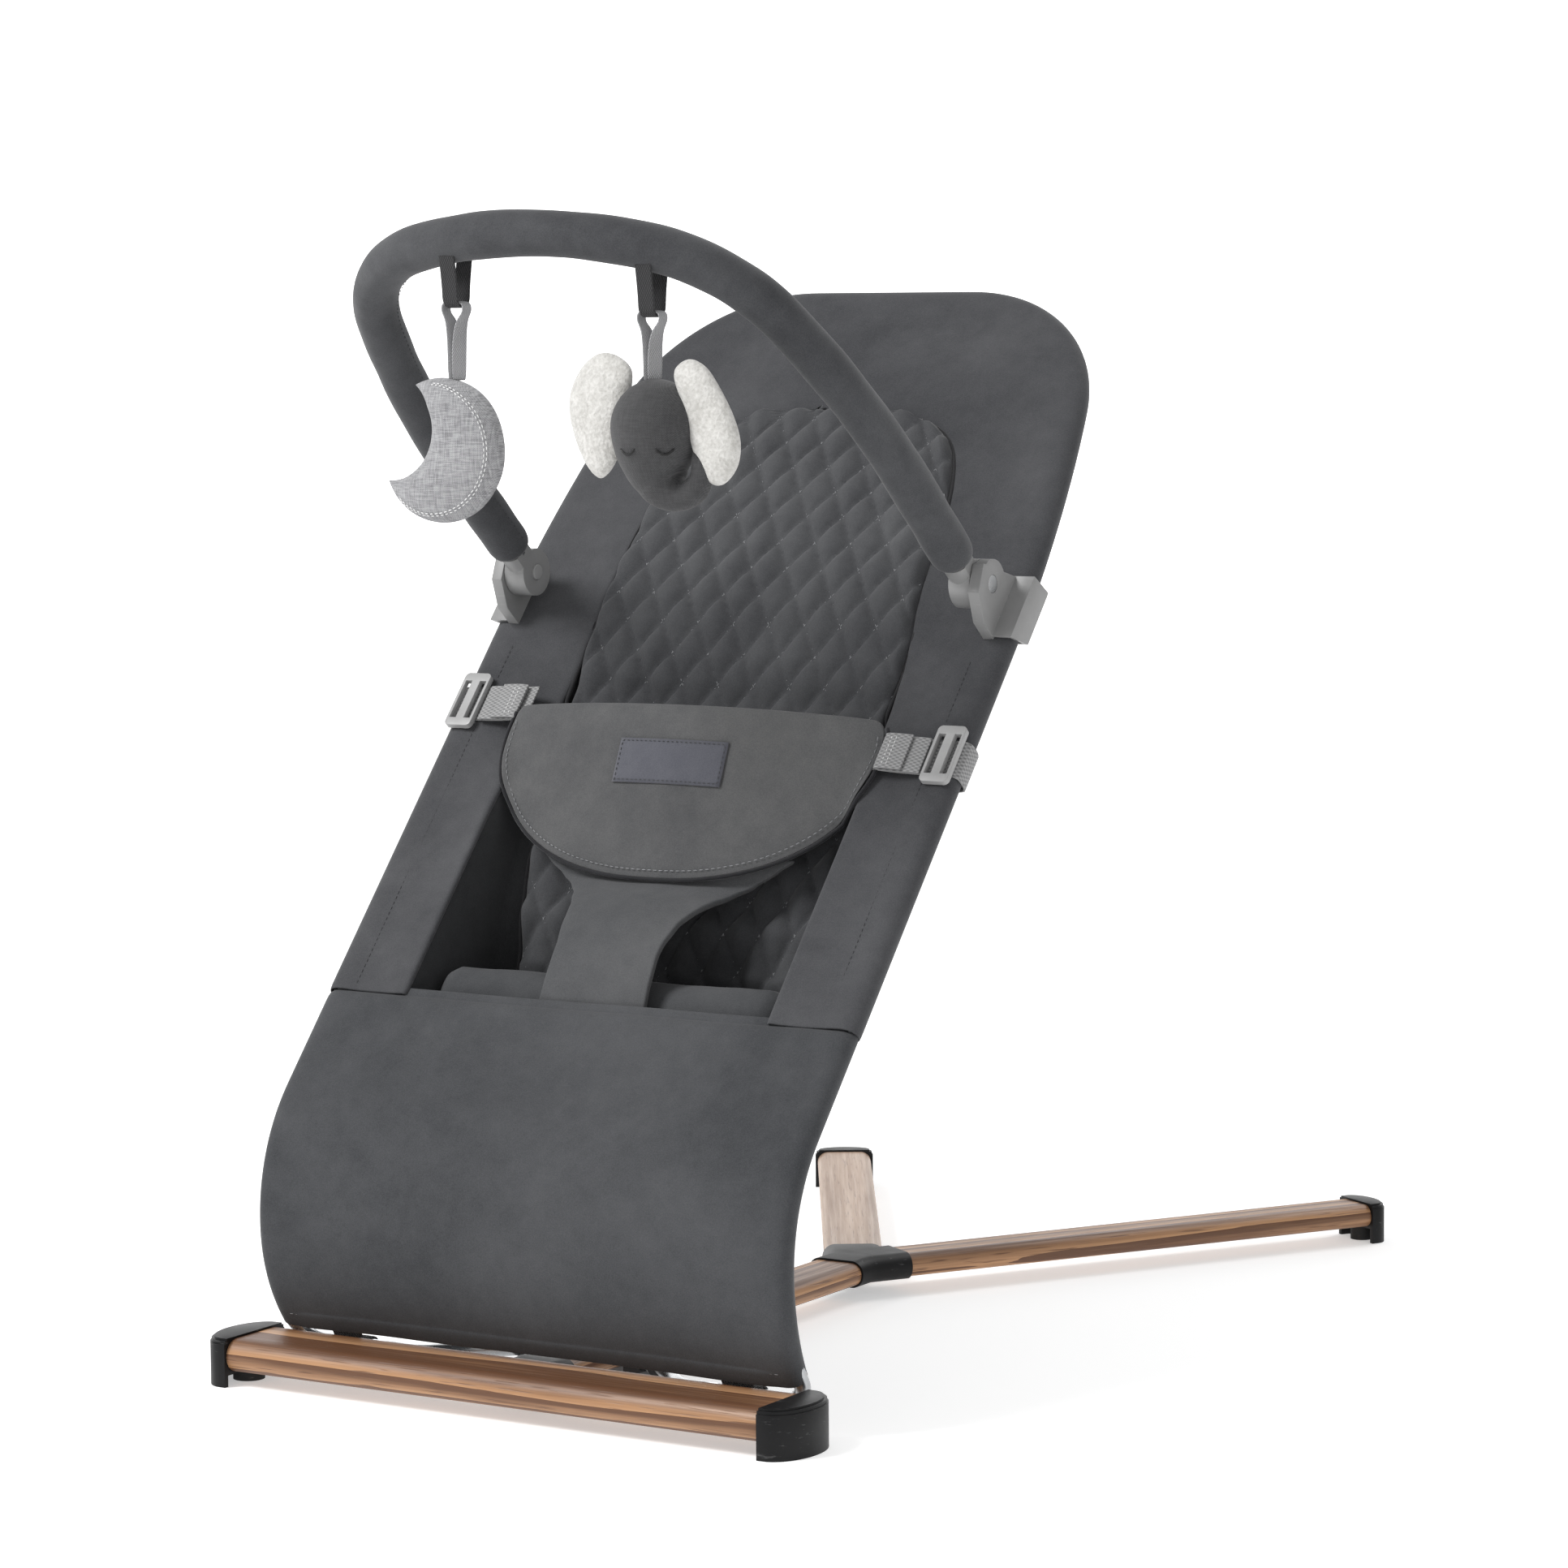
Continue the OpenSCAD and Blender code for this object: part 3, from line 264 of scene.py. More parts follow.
# ---------------------------------------------------------------------------
# End caps, joints and feet of the base. Black nylon mouldings pushed over the
# ends of the bars and held by a screw from below, with soft rubber pads that
# keep them from sliding. The recline block and its cheeks are the same nylon.
# ---------------------------------------------------------------------------
moulding, moulding_in, moulding_out = new_group(
    "moulded plastic",
    [("Vector", "NodeSocketVector", None), ("Tint", "NodeSocketColor", (0.02, 0.02, 0.022, 1)),
     ("Sheen", "NodeSocketFloat", 0.42), ("Texture", "NodeSocketFloat", 2600.0)],
    [("Color", "NodeSocketColor"), ("Roughness", "NodeSocketFloat"), ("Height", "NodeSocketFloat")],
)
spark = add(moulding, "ShaderNodeTexNoise", None, Vector=moulding_in.outputs["Vector"],
            Scale=moulding_in.outputs["Texture"], Detail=1.0).outputs["Fac"]
cloudy = noisy(moulding, moulding_in.outputs["Vector"], 22.0, 4.0, 0.6)
scuffs = remap(moulding, noisy(moulding, stretched(moulding, moulding_in.outputs["Vector"], (1.0, 3.0, 9.0)), 60.0,
                               5.0, 0.65), 0.62, 0.74)
paled = blended(moulding, reckon(moulding, "MULTIPLY", scuffs, 0.10), moulding_in.outputs["Tint"], (0.7, 0.7, 0.7, 1))
shaded = blended(moulding, remap(moulding, cloudy, 0.35, 0.7, 0.0, 0.18), paled, (0.0, 0.0, 0.0, 1))
moulding.links.new(shaded, moulding_out.inputs["Color"])
moulding.links.new(
    reckon(moulding, "ADD", moulding_in.outputs["Sheen"], remap(moulding, cloudy, 0.3, 0.7, -0.05, 0.08)),
    moulding_out.inputs["Roughness"])
moulding.links.new(spark, moulding_out.inputs["Height"])


def moulded(name, tint, sheen, texture, strength):
    finish, tree, shader = plain_finish(name)
    skin = placed_group(tree, moulding, object_place(tree), Tint=tint, Sheen=sheen, Texture=texture)
    surface(tree, shader, skin, strength, 0.0002)
    return finish


black_nylon = moulded("black nylon", (0.0050, 0.0050, 0.0056, 1), 0.42, 2600.0, 0.18)
pad_rubber = moulded("pad rubber", (0.022, 0.022, 0.022, 1), 0.78, 900.0, 0.4)
block_nylon = moulded("grey nylon", (0.16, 0.165, 0.17, 1), 0.42, 2400.0, 0.2)
for part in ("front_foot_left", "front_foot_right", "rear_foot_left", "rear_foot_right", "front_joint", "rear_joint",
             "recline_cheek_left", "recline_cheek_right"):
    dress(part, black_nylon)
dress("recline_block", block_nylon)
dress("foot_pads", pad_rubber)


# ---------------------------------------------------------------------------
# Steel parts. The rods are cold-drawn spring steel with a bright plated skin;
# the axle, its nut, the detent balls and the screws are the same plate.
# ---------------------------------------------------------------------------
bright_steel, steel_tree, steel_shader = plain_finish("plated steel")
steel_place = object_place(steel_tree)
haze = noisy(steel_tree, steel_place, 70.0, 4.0, 0.6)
steel_tree.links.new(blended(steel_tree, haze, (0.56, 0.57, 0.58, 1), (0.40, 0.41, 0.42, 1)),
                     steel_shader.inputs["Base Color"])
steel_tree.links.new(remap(steel_tree, haze, 0.3, 0.7, 0.2, 0.34), steel_shader.inputs["Roughness"])
steel_shader.inputs["Metallic"].default_value = 1.0
for part in ("base_screws", "recline_axle", "axle_nut", "detent_balls", "head_hoop", "rail_joiner_left",
             "rail_joiner_right", "toy_bar_tube", "pivot_screws"):
    dress(part, bright_steel)

seam_y, seam_z, rail_slope = front_y + 0.078108, 0.20804, math.radians(48.7)
rail_half, rod_radius = 0.168, 0.0045
spring_y, spring_z, spring_radius = front_y + 0.1155, 0.090, 0.106
run_y, run_z = front_y + 0.037078, 0.01691


def on_seat(x, s, off):
    """A point of the seat: x across, s up the rails from the seam, off in front of them."""
    return Vector((x, seam_y + s * math.cos(rail_slope) - off * math.sin(rail_slope),
                   seam_z + s * math.sin(rail_slope) + off * math.cos(rail_slope)))


def on_curve(x, angle, out):
    """A point of the spring curve below the seat, out from its radius."""
    reach = spring_radius + out
    around = math.radians(angle)
    return Vector((x, spring_y + reach * math.cos(around), spring_z + reach * math.sin(around)))


def new_piece(name, points, faces, finish, uv=None):
    mesh = bpy.data.meshes.new(name)
    mesh.from_pydata(points, [], faces)
    if uv is not None:
        layer = mesh.uv_layers.new(name="UVMap")
        for loop in mesh.loops:
            layer.data[loop.index].uv = uv[loop.vertex_index]
    mesh.materials.append(finish)
    mesh.polygons.foreach_set("use_smooth", [True] * len(mesh.polygons))
    mesh.update()
    piece = bpy.data.objects.new(name, mesh)
    bpy.context.scene.collection.objects.link(piece)
    return piece


def swept(name, path, radii, finish, sides=20, flat=1.0, ends=True):
    """A round rod or tube along a path, its rings carried round the bends without a twist."""
    headings = [(path[min(i + 1, len(path) - 1)] - path[max(i - 1, 0)]).normalized() for i in range(len(path))]
    side = headings[0].orthogonal().normalized()
    points, coords, travelled = [], [], 0.0
    for i, spot in enumerate(path):
        side = (side - headings[i] * side.dot(headings[i])).normalized()
        over = headings[i].cross(side)
        travelled += (spot - path[i - 1]).length if i else 0.0
        for k in range(sides):
            a = 2 * math.pi * k / sides
            points.append(spot + radii[i] * (math.cos(a) * side + flat * math.sin(a) * over))
            coords.append((radii[i] * a, travelled))
    faces = [(i * sides + k, i * sides + (k + 1) % sides, (i + 1) * sides + (k + 1) % sides, (i + 1) * sides + k)
             for i in range(len(path) - 1) for k in range(sides)]
    if ends:
        faces.append(tuple(range(sides - 1, -1, -1)))
        faces.append(tuple((len(path) - 1) * sides + k for k in range(sides)))
    return new_piece(name, points, faces, finish, coords)


for side_name, side_sign in (("right", 1), ("left", -1)):
    rail_path = [on_seat(side_sign * rail_half, s, 0) for s in (0.235, 0.15, 0.07, 0.0, -0.064)]
    rail_path += [on_curve(side_sign * rail_half, 138.7 + (214.4 - 138.7) * i / 24, 0) for i in range(1, 25)]
    turn_radius = 0.016
    heel = on_curve(side_sign * (rail_half - turn_radius), 214.4, 0)
    down = Vector((0, -math.sin(math.radians(214.4)), math.cos(math.radians(214.4))))
    rail_path += [heel + turn_radius * (Vector((side_sign * math.cos(a), 0, 0)) + math.sin(a) * down)
                  for a in (math.radians(10 * i) for i in range(1, 10))]
    rail_path.append(Vector((side_sign * 0.110, run_y, run_z)))
    rail = swept("rail_" + side_name, rail_path, [rod_radius] * len(rail_path), bright_steel, 24)
    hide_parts("side_rail_" + side_name)
    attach(rail, "seat")

    arm_path = [Vector((side_sign * 0.1098, run_y, run_z))]
    arm_path += [Vector((side_sign * (0.095 - 0.020 * math.sin(a)), run_y + 0.020 * (1 - math.cos(a)), run_z))
                 for a in (math.radians(45) * i / 8 for i in range(9))]
    bend_x, bend_y = 0.095 - 0.020 * math.sin(math.radians(45)), run_y + 0.020 * (1 - math.cos(math.radians(45)))
    reach = (bend_x - 0.038) / math.cos(math.radians(45)) + 0.009
    arm_path.append(Vector((side_sign * (bend_x - reach * math.cos(math.radians(45))),
                            bend_y + reach * math.sin(math.radians(45)), run_z)))
    arm = swept("arm_" + side_name, arm_path, [rod_radius] * len(arm_path), bright_steel, 24)
    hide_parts("spring_arm_" + side_name)
    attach(arm, "recline_arms")


# ---------------------------------------------------------------------------
# Seat cover. One piece of brushed charcoal microfibre, sewn into a sleeve that
# is pulled over the head hoop and down both rails. It lies tight on the front
# of the rods, and its inner edge is sewn to the quilted pad and the pocket.
# ---------------------------------------------------------------------------
suede, suede_in, suede_out = new_group(
    "brushed microfibre",
    [("Vector", "NodeSocketVector", None), ("Ground", "NodeSocketColor", (0.070, 0.072, 0.078, 1)),
     ("Brushed", "NodeSocketColor", (0.115, 0.117, 0.122, 1)), ("Smear", "NodeSocketFloat", 9.0)],
    [("Color", "NodeSocketColor"), ("Roughness", "NodeSocketFloat"), ("Height", "NodeSocketFloat")],
)
broad = add(suede, "ShaderNodeTexNoise", None, Vector=suede_in.outputs["Vector"], Scale=suede_in.outputs["Smear"],
            Detail=5.0, Roughness=0.62, Distortion=0.35).outputs["Fac"]
patchy = noisy(suede, suede_in.outputs["Vector"], 85.0, 4.0, 0.7)
nap = noisy(suede, suede_in.outputs["Vector"], 1500.0, 2.0, 0.7)
brushed = reckon(suede, "ADD", reckon(suede, "MULTIPLY", remap(suede, broad, 0.36, 0.68), 0.62),
                 reckon(suede, "MULTIPLY", remap(suede, patchy, 0.35, 0.7), 0.22))
brushed = reckon(suede, "ADD", brushed, remap(suede, nap, 0.3, 0.72, -0.20, 0.34))
suede.links.new(blended(suede, remap(suede, brushed, 0.0, 1.0), suede_in.outputs["Ground"],
                        suede_in.outputs["Brushed"]), suede_out.inputs["Color"])
suede.links.new(remap(suede, brushed, 0.0, 1.0, 0.95, 0.80), suede_out.inputs["Roughness"])
suede.links.new(reckon(suede, "ADD", reckon(suede, "MULTIPLY", nap, 0.8), reckon(suede, "MULTIPLY", patchy, 0.5)),
                suede_out.inputs["Height"])


def microfibre(name, ground, brushed_tone, smear=9.0, strength=0.35):
    finish, tree, shader = plain_finish(name)
    face = placed_group(tree, suede, object_place(tree), Ground=ground, Brushed=brushed_tone, Smear=smear)
    surface(tree, shader, face, strength, 0.0004)
    shader.inputs["Sheen Weight"].default_value = 0.16
    shader.inputs["Sheen Roughness"].default_value = 0.45
    shader.inputs["Specular IOR Level"].default_value = 0.28
    return finish


cover_cloth = microfibre("charcoal microfibre", (0.040, 0.041, 0.045, 1), (0.075, 0.076, 0.081, 1))


def lofted(name, rows, finish, loop=False):
    """A sheet through rows of points. Its own UV map is in metres across and along the cloth."""
    width = len(rows[0])
    points, coords = [], []
    along = 0.0
    for j, row in enumerate(rows):
        along += (row[width // 2] - rows[j - 1][width // 2]).length if j else 0.0
        across = 0.0
        for k, spot in enumerate(row):
            across += (spot - row[k - 1]).length if k else 0.0
            points.append(spot)
            coords.append((across, along))
    span = width if loop else width - 1
    faces = [(j * width + k, j * width + (k + 1) % width, (j + 1) * width + (k + 1) % width, (j + 1) * width + k)
             for j in range(len(rows) - 1) for k in range(span)]
    return new_piece(name, points, faces, finish, coords)


def settled(piece, *modifiers):
    """Applies modifiers, given as (type, settings), and leaves a plain mesh."""
    for kind, settings in modifiers:
        made = piece.modifiers.new(kind.lower(), kind)
        for key, value in settings.items():
            setattr(made, key, value)
    graph = bpy.context.evaluated_depsgraph_get()
    finished = bpy.data.meshes.new_from_object(piece.evaluated_get(graph))
    piece.modifiers.clear()
    piece.data = finished
    return piece


def between(table, at):
    """Reads a smooth value from a short table of (place, value)."""
    if at <= table[0][0]:
        return table[0][1]
    for (a, low), (b, high) in zip(table, table[1:]):
        if at <= b:
            t = (at - a) / (b - a)
            return low + (high - low) * t * t * (3 - 2 * t)
    return table[-1][1]


def ripple(spot, scale, amount, seed=0.0):
    return amount * noise.noise(Vector((spot[0] * scale + seed, spot[1] * scale, spot[2] * scale)))


wide_radius, wide_start, wide_turn, corner_radius = 1.047, 0.260, math.radians(9.6), 0.100
corner_x = rail_half - wide_radius + (wide_radius - corner_radius) * math.cos(wide_turn)
corner_s = wide_start + (wide_radius - corner_radius) * math.sin(wide_turn)
half_rim = [((rail_half, 0.26 * i / 34), (1.0, 0.0)) for i in range(34)]
half_rim += [((rail_half - wide_radius + wide_radius * math.cos(a), wide_start + wide_radius * math.sin(a)),
              (math.cos(a), math.sin(a))) for a in (wide_turn * i / 16 for i in range(16))]
half_rim += [((corner_x + corner_radius * math.cos(a), corner_s + corner_radius * math.sin(a)),
              (math.cos(a), math.sin(a)))
             for a in (wide_turn + (math.pi / 2 - wide_turn) * i / 26 for i in range(26))]
half_rim += [((corner_x * (1 - i / 8), corner_s + corner_radius), (0.0, 1.0)) for i in range(9)]

pad_edge_x = [(0.050, 0.0985), (0.058, 0.099), (0.125, 0.105), (0.250, 0.109), (0.335, 0.103), (0.378, 0.096)]
inner_x = [(0.0, 0.121), (0.13, 0.121), (0.16, 0.120), (0.19, 0.116), (0.215, 0.112), (0.24, 0.1105), (0.262, 0.1095)]
inner_off = [(0.0, 0.006), (0.13, 0.006), (0.16, 0.005), (0.19, 0.001), (0.215, -0.0035), (0.24, -0.003),
             (0.265, 0.0005), (0.286, 0.005), (0.30, 0.006)]
pad_crown = [(0.109, 0.262), (0.106, 0.300), (0.103, 0.335), (0.100, 0.360), (0.096, 0.378), (0.091, 0.394),
             (0.083, 0.407), (0.072, 0.4165), (0.055, 0.4235), (0.032, 0.427), (0.015, 0.4278), (0.0, 0.428)]
crown_run = [0.0]
for a, b in zip(pad_crown, pad_crown[1:]):
    crown_run.append(crown_run[-1] + math.dist(a, b))


def crown_point(part):
    """A point of the pad's rounded top edge, from 0 at its side to 1 at the middle."""
    goal = part * crown_run[-1]
    for i in range(len(pad_crown) - 1):
        if goal <= crown_run[i + 1]:
            t = (goal - crown_run[i]) / (crown_run[i + 1] - crown_run[i])
            return tuple(u + (v - u) * t for u, v in zip(pad_crown[i], pad_crown[i + 1]))
    return pad_crown[-1]


sleeve_ring = [(-0.0135, -0.0052), (-0.010, -0.0058), (-0.005, -0.0062), (0.0, -0.0062), (0.0036, -0.0052),
               (0.0056, -0.0028), (0.0062, 0.0), (0.0056, 0.0028), (0.0036, 0.0052), (0.0, 0.0064), (-0.005, 0.0062)]
first_round = next(i for i, (spot, _) in enumerate(half_rim) if spot[1] >= 0.26)
cover_rows = []
for side_sign in (1, -1):
    rows = []
    for i, ((x, s), (out_x, out_s)) in enumerate(half_rim):
        if i < first_round:
            edge = (between(inner_x, s), s)
        else:
            edge = crown_point((i - first_round) / (len(half_rim) - 1 - first_round))
        row = [(x + d * out_x, s + d * out_s, off) for d, off in sleeve_ring]
        last_x, last_s, last_off = row[-1]
        edge_off = between(inner_off, edge[1])
        for k in range(1, 19):
            t = k / 18
            px, ps = last_x + (edge[0] - last_x) * t, last_s + (edge[1] - last_s) * t
            droop = -0.0016 * math.sin(math.pi * t)
            lift = ripple((px, ps, 0), 26, 0.0011, 3.0 * side_sign) * math.sin(math.pi * min(1, t * 1.3))
            row.append((px, ps, last_off + (edge_off - last_off) * t ** 1.6 + droop + lift))
        row.append((edge[0] - 0.0006 * (1 if edge[0] > 0.01 else 0), edge[1] - (0 if i < first_round else 0.0006),
                    edge_off - 0.0022))
        rows.append([on_seat(side_sign * px, ps, off) for px, ps, off in row])
    cover_rows.append(rows)
cover_grid = cover_rows[0] + list(reversed(cover_rows[1]))[1:]
seat_cover = lofted("seat_cover", cover_grid, cover_cloth)
settled(seat_cover, ("SOLIDIFY", {"thickness": 0.0012, "offset": -1.0, "use_even_offset": True}),
        ("SUBSURF", {"levels": 1, "render_levels": 1}))
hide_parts("side_wing_left", "side_wing_right", "back_cover")
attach(seat_cover, "seat")

# The lining closes the cover behind the head. It is the same cloth, dull side out, sewn to the turned-in edge.
lining_cloth = microfibre("charcoal lining", (0.029, 0.029, 0.032, 1), (0.045, 0.045, 0.048, 1), 6.0, 0.25)
lining_rows = []
head_rim = [((x - 0.0115 * out_x), (s - 0.0115 * out_s)) for (x, s), (out_x, out_s) in half_rim if s > 0.285]
for x, s in head_rim[:-9]:
    lining_rows.append([on_seat(x * k / 14, s, 0.0040 - 0.0010 * math.cos(k / 28 * math.pi)
                                + ripple((x * k / 14, s, 1), 22, 0.0007)) for k in range(-14, 15)])
head_lining = lofted("head_lining", lining_rows, lining_cloth)
settled(head_lining, ("SOLIDIFY", {"thickness": 0.0008, "offset": -1.0}),
        ("SUBSURF", {"levels": 1, "render_levels": 1}))
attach(head_lining, "seat")


# ---------------------------------------------------------------------------
# Seat pocket. A deep sling of plain dark cloth that hangs between the two
# wings and carries the child: two upright cheeks, a floor that curves forward
# to the seat's edge, and a back that rises behind the pad.
# ---------------------------------------------------------------------------
pocket_cloth = microfibre("pocket cloth", (0.024, 0.025, 0.027, 1), (0.046, 0.047, 0.050, 1), 7.0, 0.3)
sling_line = [(0.286, 0.0032), (0.262, -0.0035), (0.236, -0.0100), (0.215, -0.0150), (0.185, -0.0200),
              (0.155, -0.0260), (0.125, -0.0325), (0.095, -0.0430), (0.066, -0.0560), (0.052, -0.0660),
              (0.040, -0.0735), (0.031, -0.0760), (0.022, -0.0735), (0.014, -0.0660), (0.008, -0.0540),
              (0.005, -0.0350), (0.004, -0.0160), (0.0035, -0.0060), (0.003, 0.0020)]
pocket_rows = []
for s, off in sling_line:
    wall_x, wall_off = between(inner_x, s) + 0.0004, between(inner_off, s) - 0.0006
    floor_x = min(0.1175, wall_x - 0.0015)
    drop = max(wall_off - off, 0.0004)
    half = [(0.0, off - 0.003 * min(1, drop / 0.03))]
    half += [(floor_x * k / 8, off - 0.003 * min(1, drop / 0.03) * math.cos(k / 16 * math.pi)) for k in range(1, 7)]
    half += [(floor_x * 0.93, off + drop * 0.02), (floor_x * 0.985, off + drop * 0.10), (floor_x, off + drop * 0.24),
             (floor_x + (wall_x - floor_x) * 0.4, off + drop * 0.5),
             (floor_x + (wall_x - floor_x) * 0.75, off + drop * 0.78), (wall_x, wall_off)]
    row = [on_seat(-x, s, o) for x, o in reversed(half)] + [on_seat(x, s, o) for x, o in half[1:]]
    pocket_rows.append(row)
pocket = lofted("pocket_sling", pocket_rows, pocket_cloth)
settled(pocket, ("SOLIDIFY", {"thickness": 0.0012, "offset": 0.0}), ("SUBSURF", {"levels": 2, "render_levels": 2}))
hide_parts("seat_pocket")
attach(pocket, "seat")


# ---------------------------------------------------------------------------
# Stitches. Polyester thread sewn through the cloth, one bead for each stitch,
# laid by a node tree along a line that is given as a string of points.
# ---------------------------------------------------------------------------
def thread(name, tint):
    finish, tree, shader = plain_finish(name)
    strand = placed_group(tree, moulding, object_place(tree), Tint=tint, Sheen=0.62, Texture=5200.0)
    surface(tree, shader, strand, 0.3, 0.0001)
    return finish


grey_thread = thread("grey thread", (0.25, 0.255, 0.265, 1))
dark_thread = thread("dark thread", (0.045, 0.046, 0.050, 1))
white_thread = thread("white thread", (0.78, 0.78, 0.78, 1))

sewing = bpy.data.node_groups.new("run of stitches", "GeometryNodeTree")
for label, kind, value in (("Line", "NodeSocketGeometry", None), ("Pitch", "NodeSocketFloat", 0.0036),
                           ("Length", "NodeSocketFloat", 0.0026), ("Thickness", "NodeSocketFloat", 0.00030),
                           ("Thread", "NodeSocketMaterial", None)):
    socket = sewing.interface.new_socket(label, in_out="INPUT", socket_type=kind)
    if value is not None:
        socket.default_value = value
sewing.interface.new_socket("Stitches", in_out="OUTPUT", socket_type="NodeSocketGeometry")
sew_in, sew_out = sewing.nodes.new("NodeGroupInput"), sewing.nodes.new("NodeGroupOutput")
to_curve = add(sewing, "GeometryNodeMeshToCurve")
sewing.links.new(sew_in.outputs["Line"], to_curve.inputs["Mesh"])
spaced = add(sewing, "GeometryNodeResampleCurve", {"mode": "LENGTH"})
sewing.links.new(to_curve.outputs["Curve"], spaced.inputs["Curve"])
sewing.links.new(sew_in.outputs["Pitch"], spaced.inputs["Length"])
bead = add(sewing, "GeometryNodeMeshIcoSphere")
bead.inputs["Radius"].default_value = 1.0
bead.inputs["Subdivisions"].default_value = 1
bead_size = add(sewing, "ShaderNodeCombineXYZ")
sewing.links.new(reckon(sewing, "MULTIPLY", sew_in.outputs["Length"], 0.5), bead_size.inputs["X"])
sewing.links.new(sew_in.outputs["Thickness"], bead_size.inputs["Y"])
sewing.links.new(sew_in.outputs["Thickness"], bead_size.inputs["Z"])
heading = add(sewing, "FunctionNodeAlignEulerToVector", {"axis": "X"})
sewing.links.new(add(sewing, "GeometryNodeInputTangent").outputs[0], heading.inputs["Vector"])
sewn = add(sewing, "GeometryNodeInstanceOnPoints")
sewing.links.new(spaced.outputs["Curve"], sewn.inputs["Points"])
sewing.links.new(bead.outputs["Mesh"], sewn.inputs["Instance"])
sewing.links.new(heading.outputs["Rotation"], sewn.inputs["Rotation"])
sewing.links.new(bead_size.outputs["Vector"], sewn.inputs["Scale"])
made_real = add(sewing, "GeometryNodeRealizeInstances")
sewing.links.new(sewn.outputs["Instances"], made_real.inputs["Geometry"])
threaded = add(sewing, "GeometryNodeSetMaterial")
sewing.links.new(made_real.outputs["Geometry"], threaded.inputs["Geometry"])
sewing.links.new(sew_in.outputs["Thread"], threaded.inputs["Material"])
sewing.links.new(threaded.outputs["Geometry"], sew_out.inputs["Stitches"])


def stitched(name, lines, finish, body, pitch=0.0036, length=0.0026, thickness=0.0003):
    """Sews a thread along each line of points, as one piece that moves with the body."""
    mesh = bpy.data.meshes.new(name)
    points, edges = [], []
    for line in lines:
        edges += [(len(points) + k, len(points) + k + 1) for k in range(len(line) - 1)]
        points += line
    mesh.from_pydata(points, edges, [])
    mesh.materials.append(finish)
    seam = bpy.data.objects.new(name, mesh)
    bpy.context.scene.collection.objects.link(seam)
    maker = seam.modifiers.new("sewing", "NODES")
    maker.node_group = sewing
    given = {"Pitch": pitch, "Length": length, "Thickness": thickness, "Thread": finish}
    for item in sewing.interface.items_tree:
        if item.item_type == "SOCKET" and item.in_out == "INPUT" and item.name in given:
            maker[item.identifier] = given[item.name]
    graph = bpy.context.evaluated_depsgraph_get()
    sewn_mesh = bpy.data.meshes.new_from_object(seam.evaluated_get(graph))
    seam.modifiers.clear()
    seam.data = sewn_mesh
    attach(seam, body)
    return seam


# ---------------------------------------------------------------------------
# Quilted pad. A thin wadded panel quilted in long diamonds with grey thread,
# with a dark piping sewn round its edge. It follows the pocket's back and is
# sewn to the cover at the head.
# ---------------------------------------------------------------------------
quilt_cloth = microfibre("quilted microfibre", (0.045, 0.046, 0.050, 1), (0.078, 0.080, 0.084, 1), 12.0, 0.4)
diamond_x, diamond_s, diamond_from = 0.0242, 0.0372, 0.252
pad_front = [(0.050, -0.0560), (0.062, -0.0475), (0.090, -0.0340), (0.126, -0.0240), (0.160, -0.0165),
             (0.190, -0.0115), (0.216, -0.0065), (0.250, 0.0010), (0.286, 0.0078), (0.310, 0.0095),
             (0.350, 0.0105), (0.428, 0.0100)]
sag_depth = [(0.05, 0.004), (0.12, 0.006), (0.22, 0.004), (0.30, 0.001), (0.35, 0.0)]


def pad_half(s):
    """Half the pad's width at s, rounded off at the top."""
    if s < 0.262:
        return between(pad_edge_x, s) if s <= 0.25 else 0.109
    for (x0, s0), (x1, s1) in zip(pad_crown, pad_crown[1:]):
        if s <= s1:
            return x0 + (x1 - x0) * (s - s0) / (s1 - s0)
    return 0.0


def pad_level(x, s):
    """The pad's stitched level, without the puff of the diamonds."""
    wide = max(pad_half(s), 0.02)
    to_edge = min(wide - abs(x), (0.428 - s) * 1.1 + (0.006 if s < 0.40 else 0.0), s - 0.050)
    rolled = 0.0042 * (1 - min(1, max(0, to_edge) / 0.006)) ** 2
    hang = between(sag_depth, s) * (1 - (x / wide) ** 2)
    return between(pad_front, s) - hang - rolled


def puff(x, s):
    a = x / diamond_x + (s - diamond_from) / diamond_s
    b = x / diamond_x - (s - diamond_from) / diamond_s
    swell = (abs(math.sin(math.pi * a)) * abs(math.sin(math.pi * b))) ** 0.55
    return 0.0052 * swell * (1 + 0.25 * noise.noise(Vector((x * 40, s * 40, 5))))


pad_rows = []
pad_steps = [0.050 + 0.0018 * i for i in range(203)]
pad_steps += [0.4165, 0.4188, 0.4208, 0.4225, 0.4240, 0.4252, 0.4262, 0.4270, 0.4276]
for s in pad_steps:
    half = pad_half(s)
    pad_rows.append([on_seat(x, s, pad_level(x, s) + puff(x, s) * min(1, max(0, half - abs(x)) / 0.004))
                     for x in (half * k / 58 for k in range(-58, 59))])
quilted_pad = lofted("quilted_pad_face", pad_rows, quilt_cloth)
settled(quilted_pad, ("SOLIDIFY", {"thickness": 0.0035, "offset": -1.0}))
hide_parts("quilted_pad")
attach(quilted_pad, "seat")

quilt_lines = []
for direction in (1, -1):
    for number in range(-14, 15):
        line = []
        for step in range(0, 260):
            s = 0.052 + step * 0.0015
            x = direction * diamond_x * (number - (s - diamond_from) / diamond_s)
            if s < 0.4255 and abs(x) < pad_half(s) - 0.0025:
                line.append(on_seat(x, s, pad_level(x, s) + 0.00035))
            elif len(line) > 3:
                quilt_lines.append(line)
                line = []
            else:
                line = []
        if len(line) > 3:
            quilt_lines.append(line)
stitched("quilting_stitches", quilt_lines, grey_thread, "seat", 0.0034, 0.0025, 0.00027)

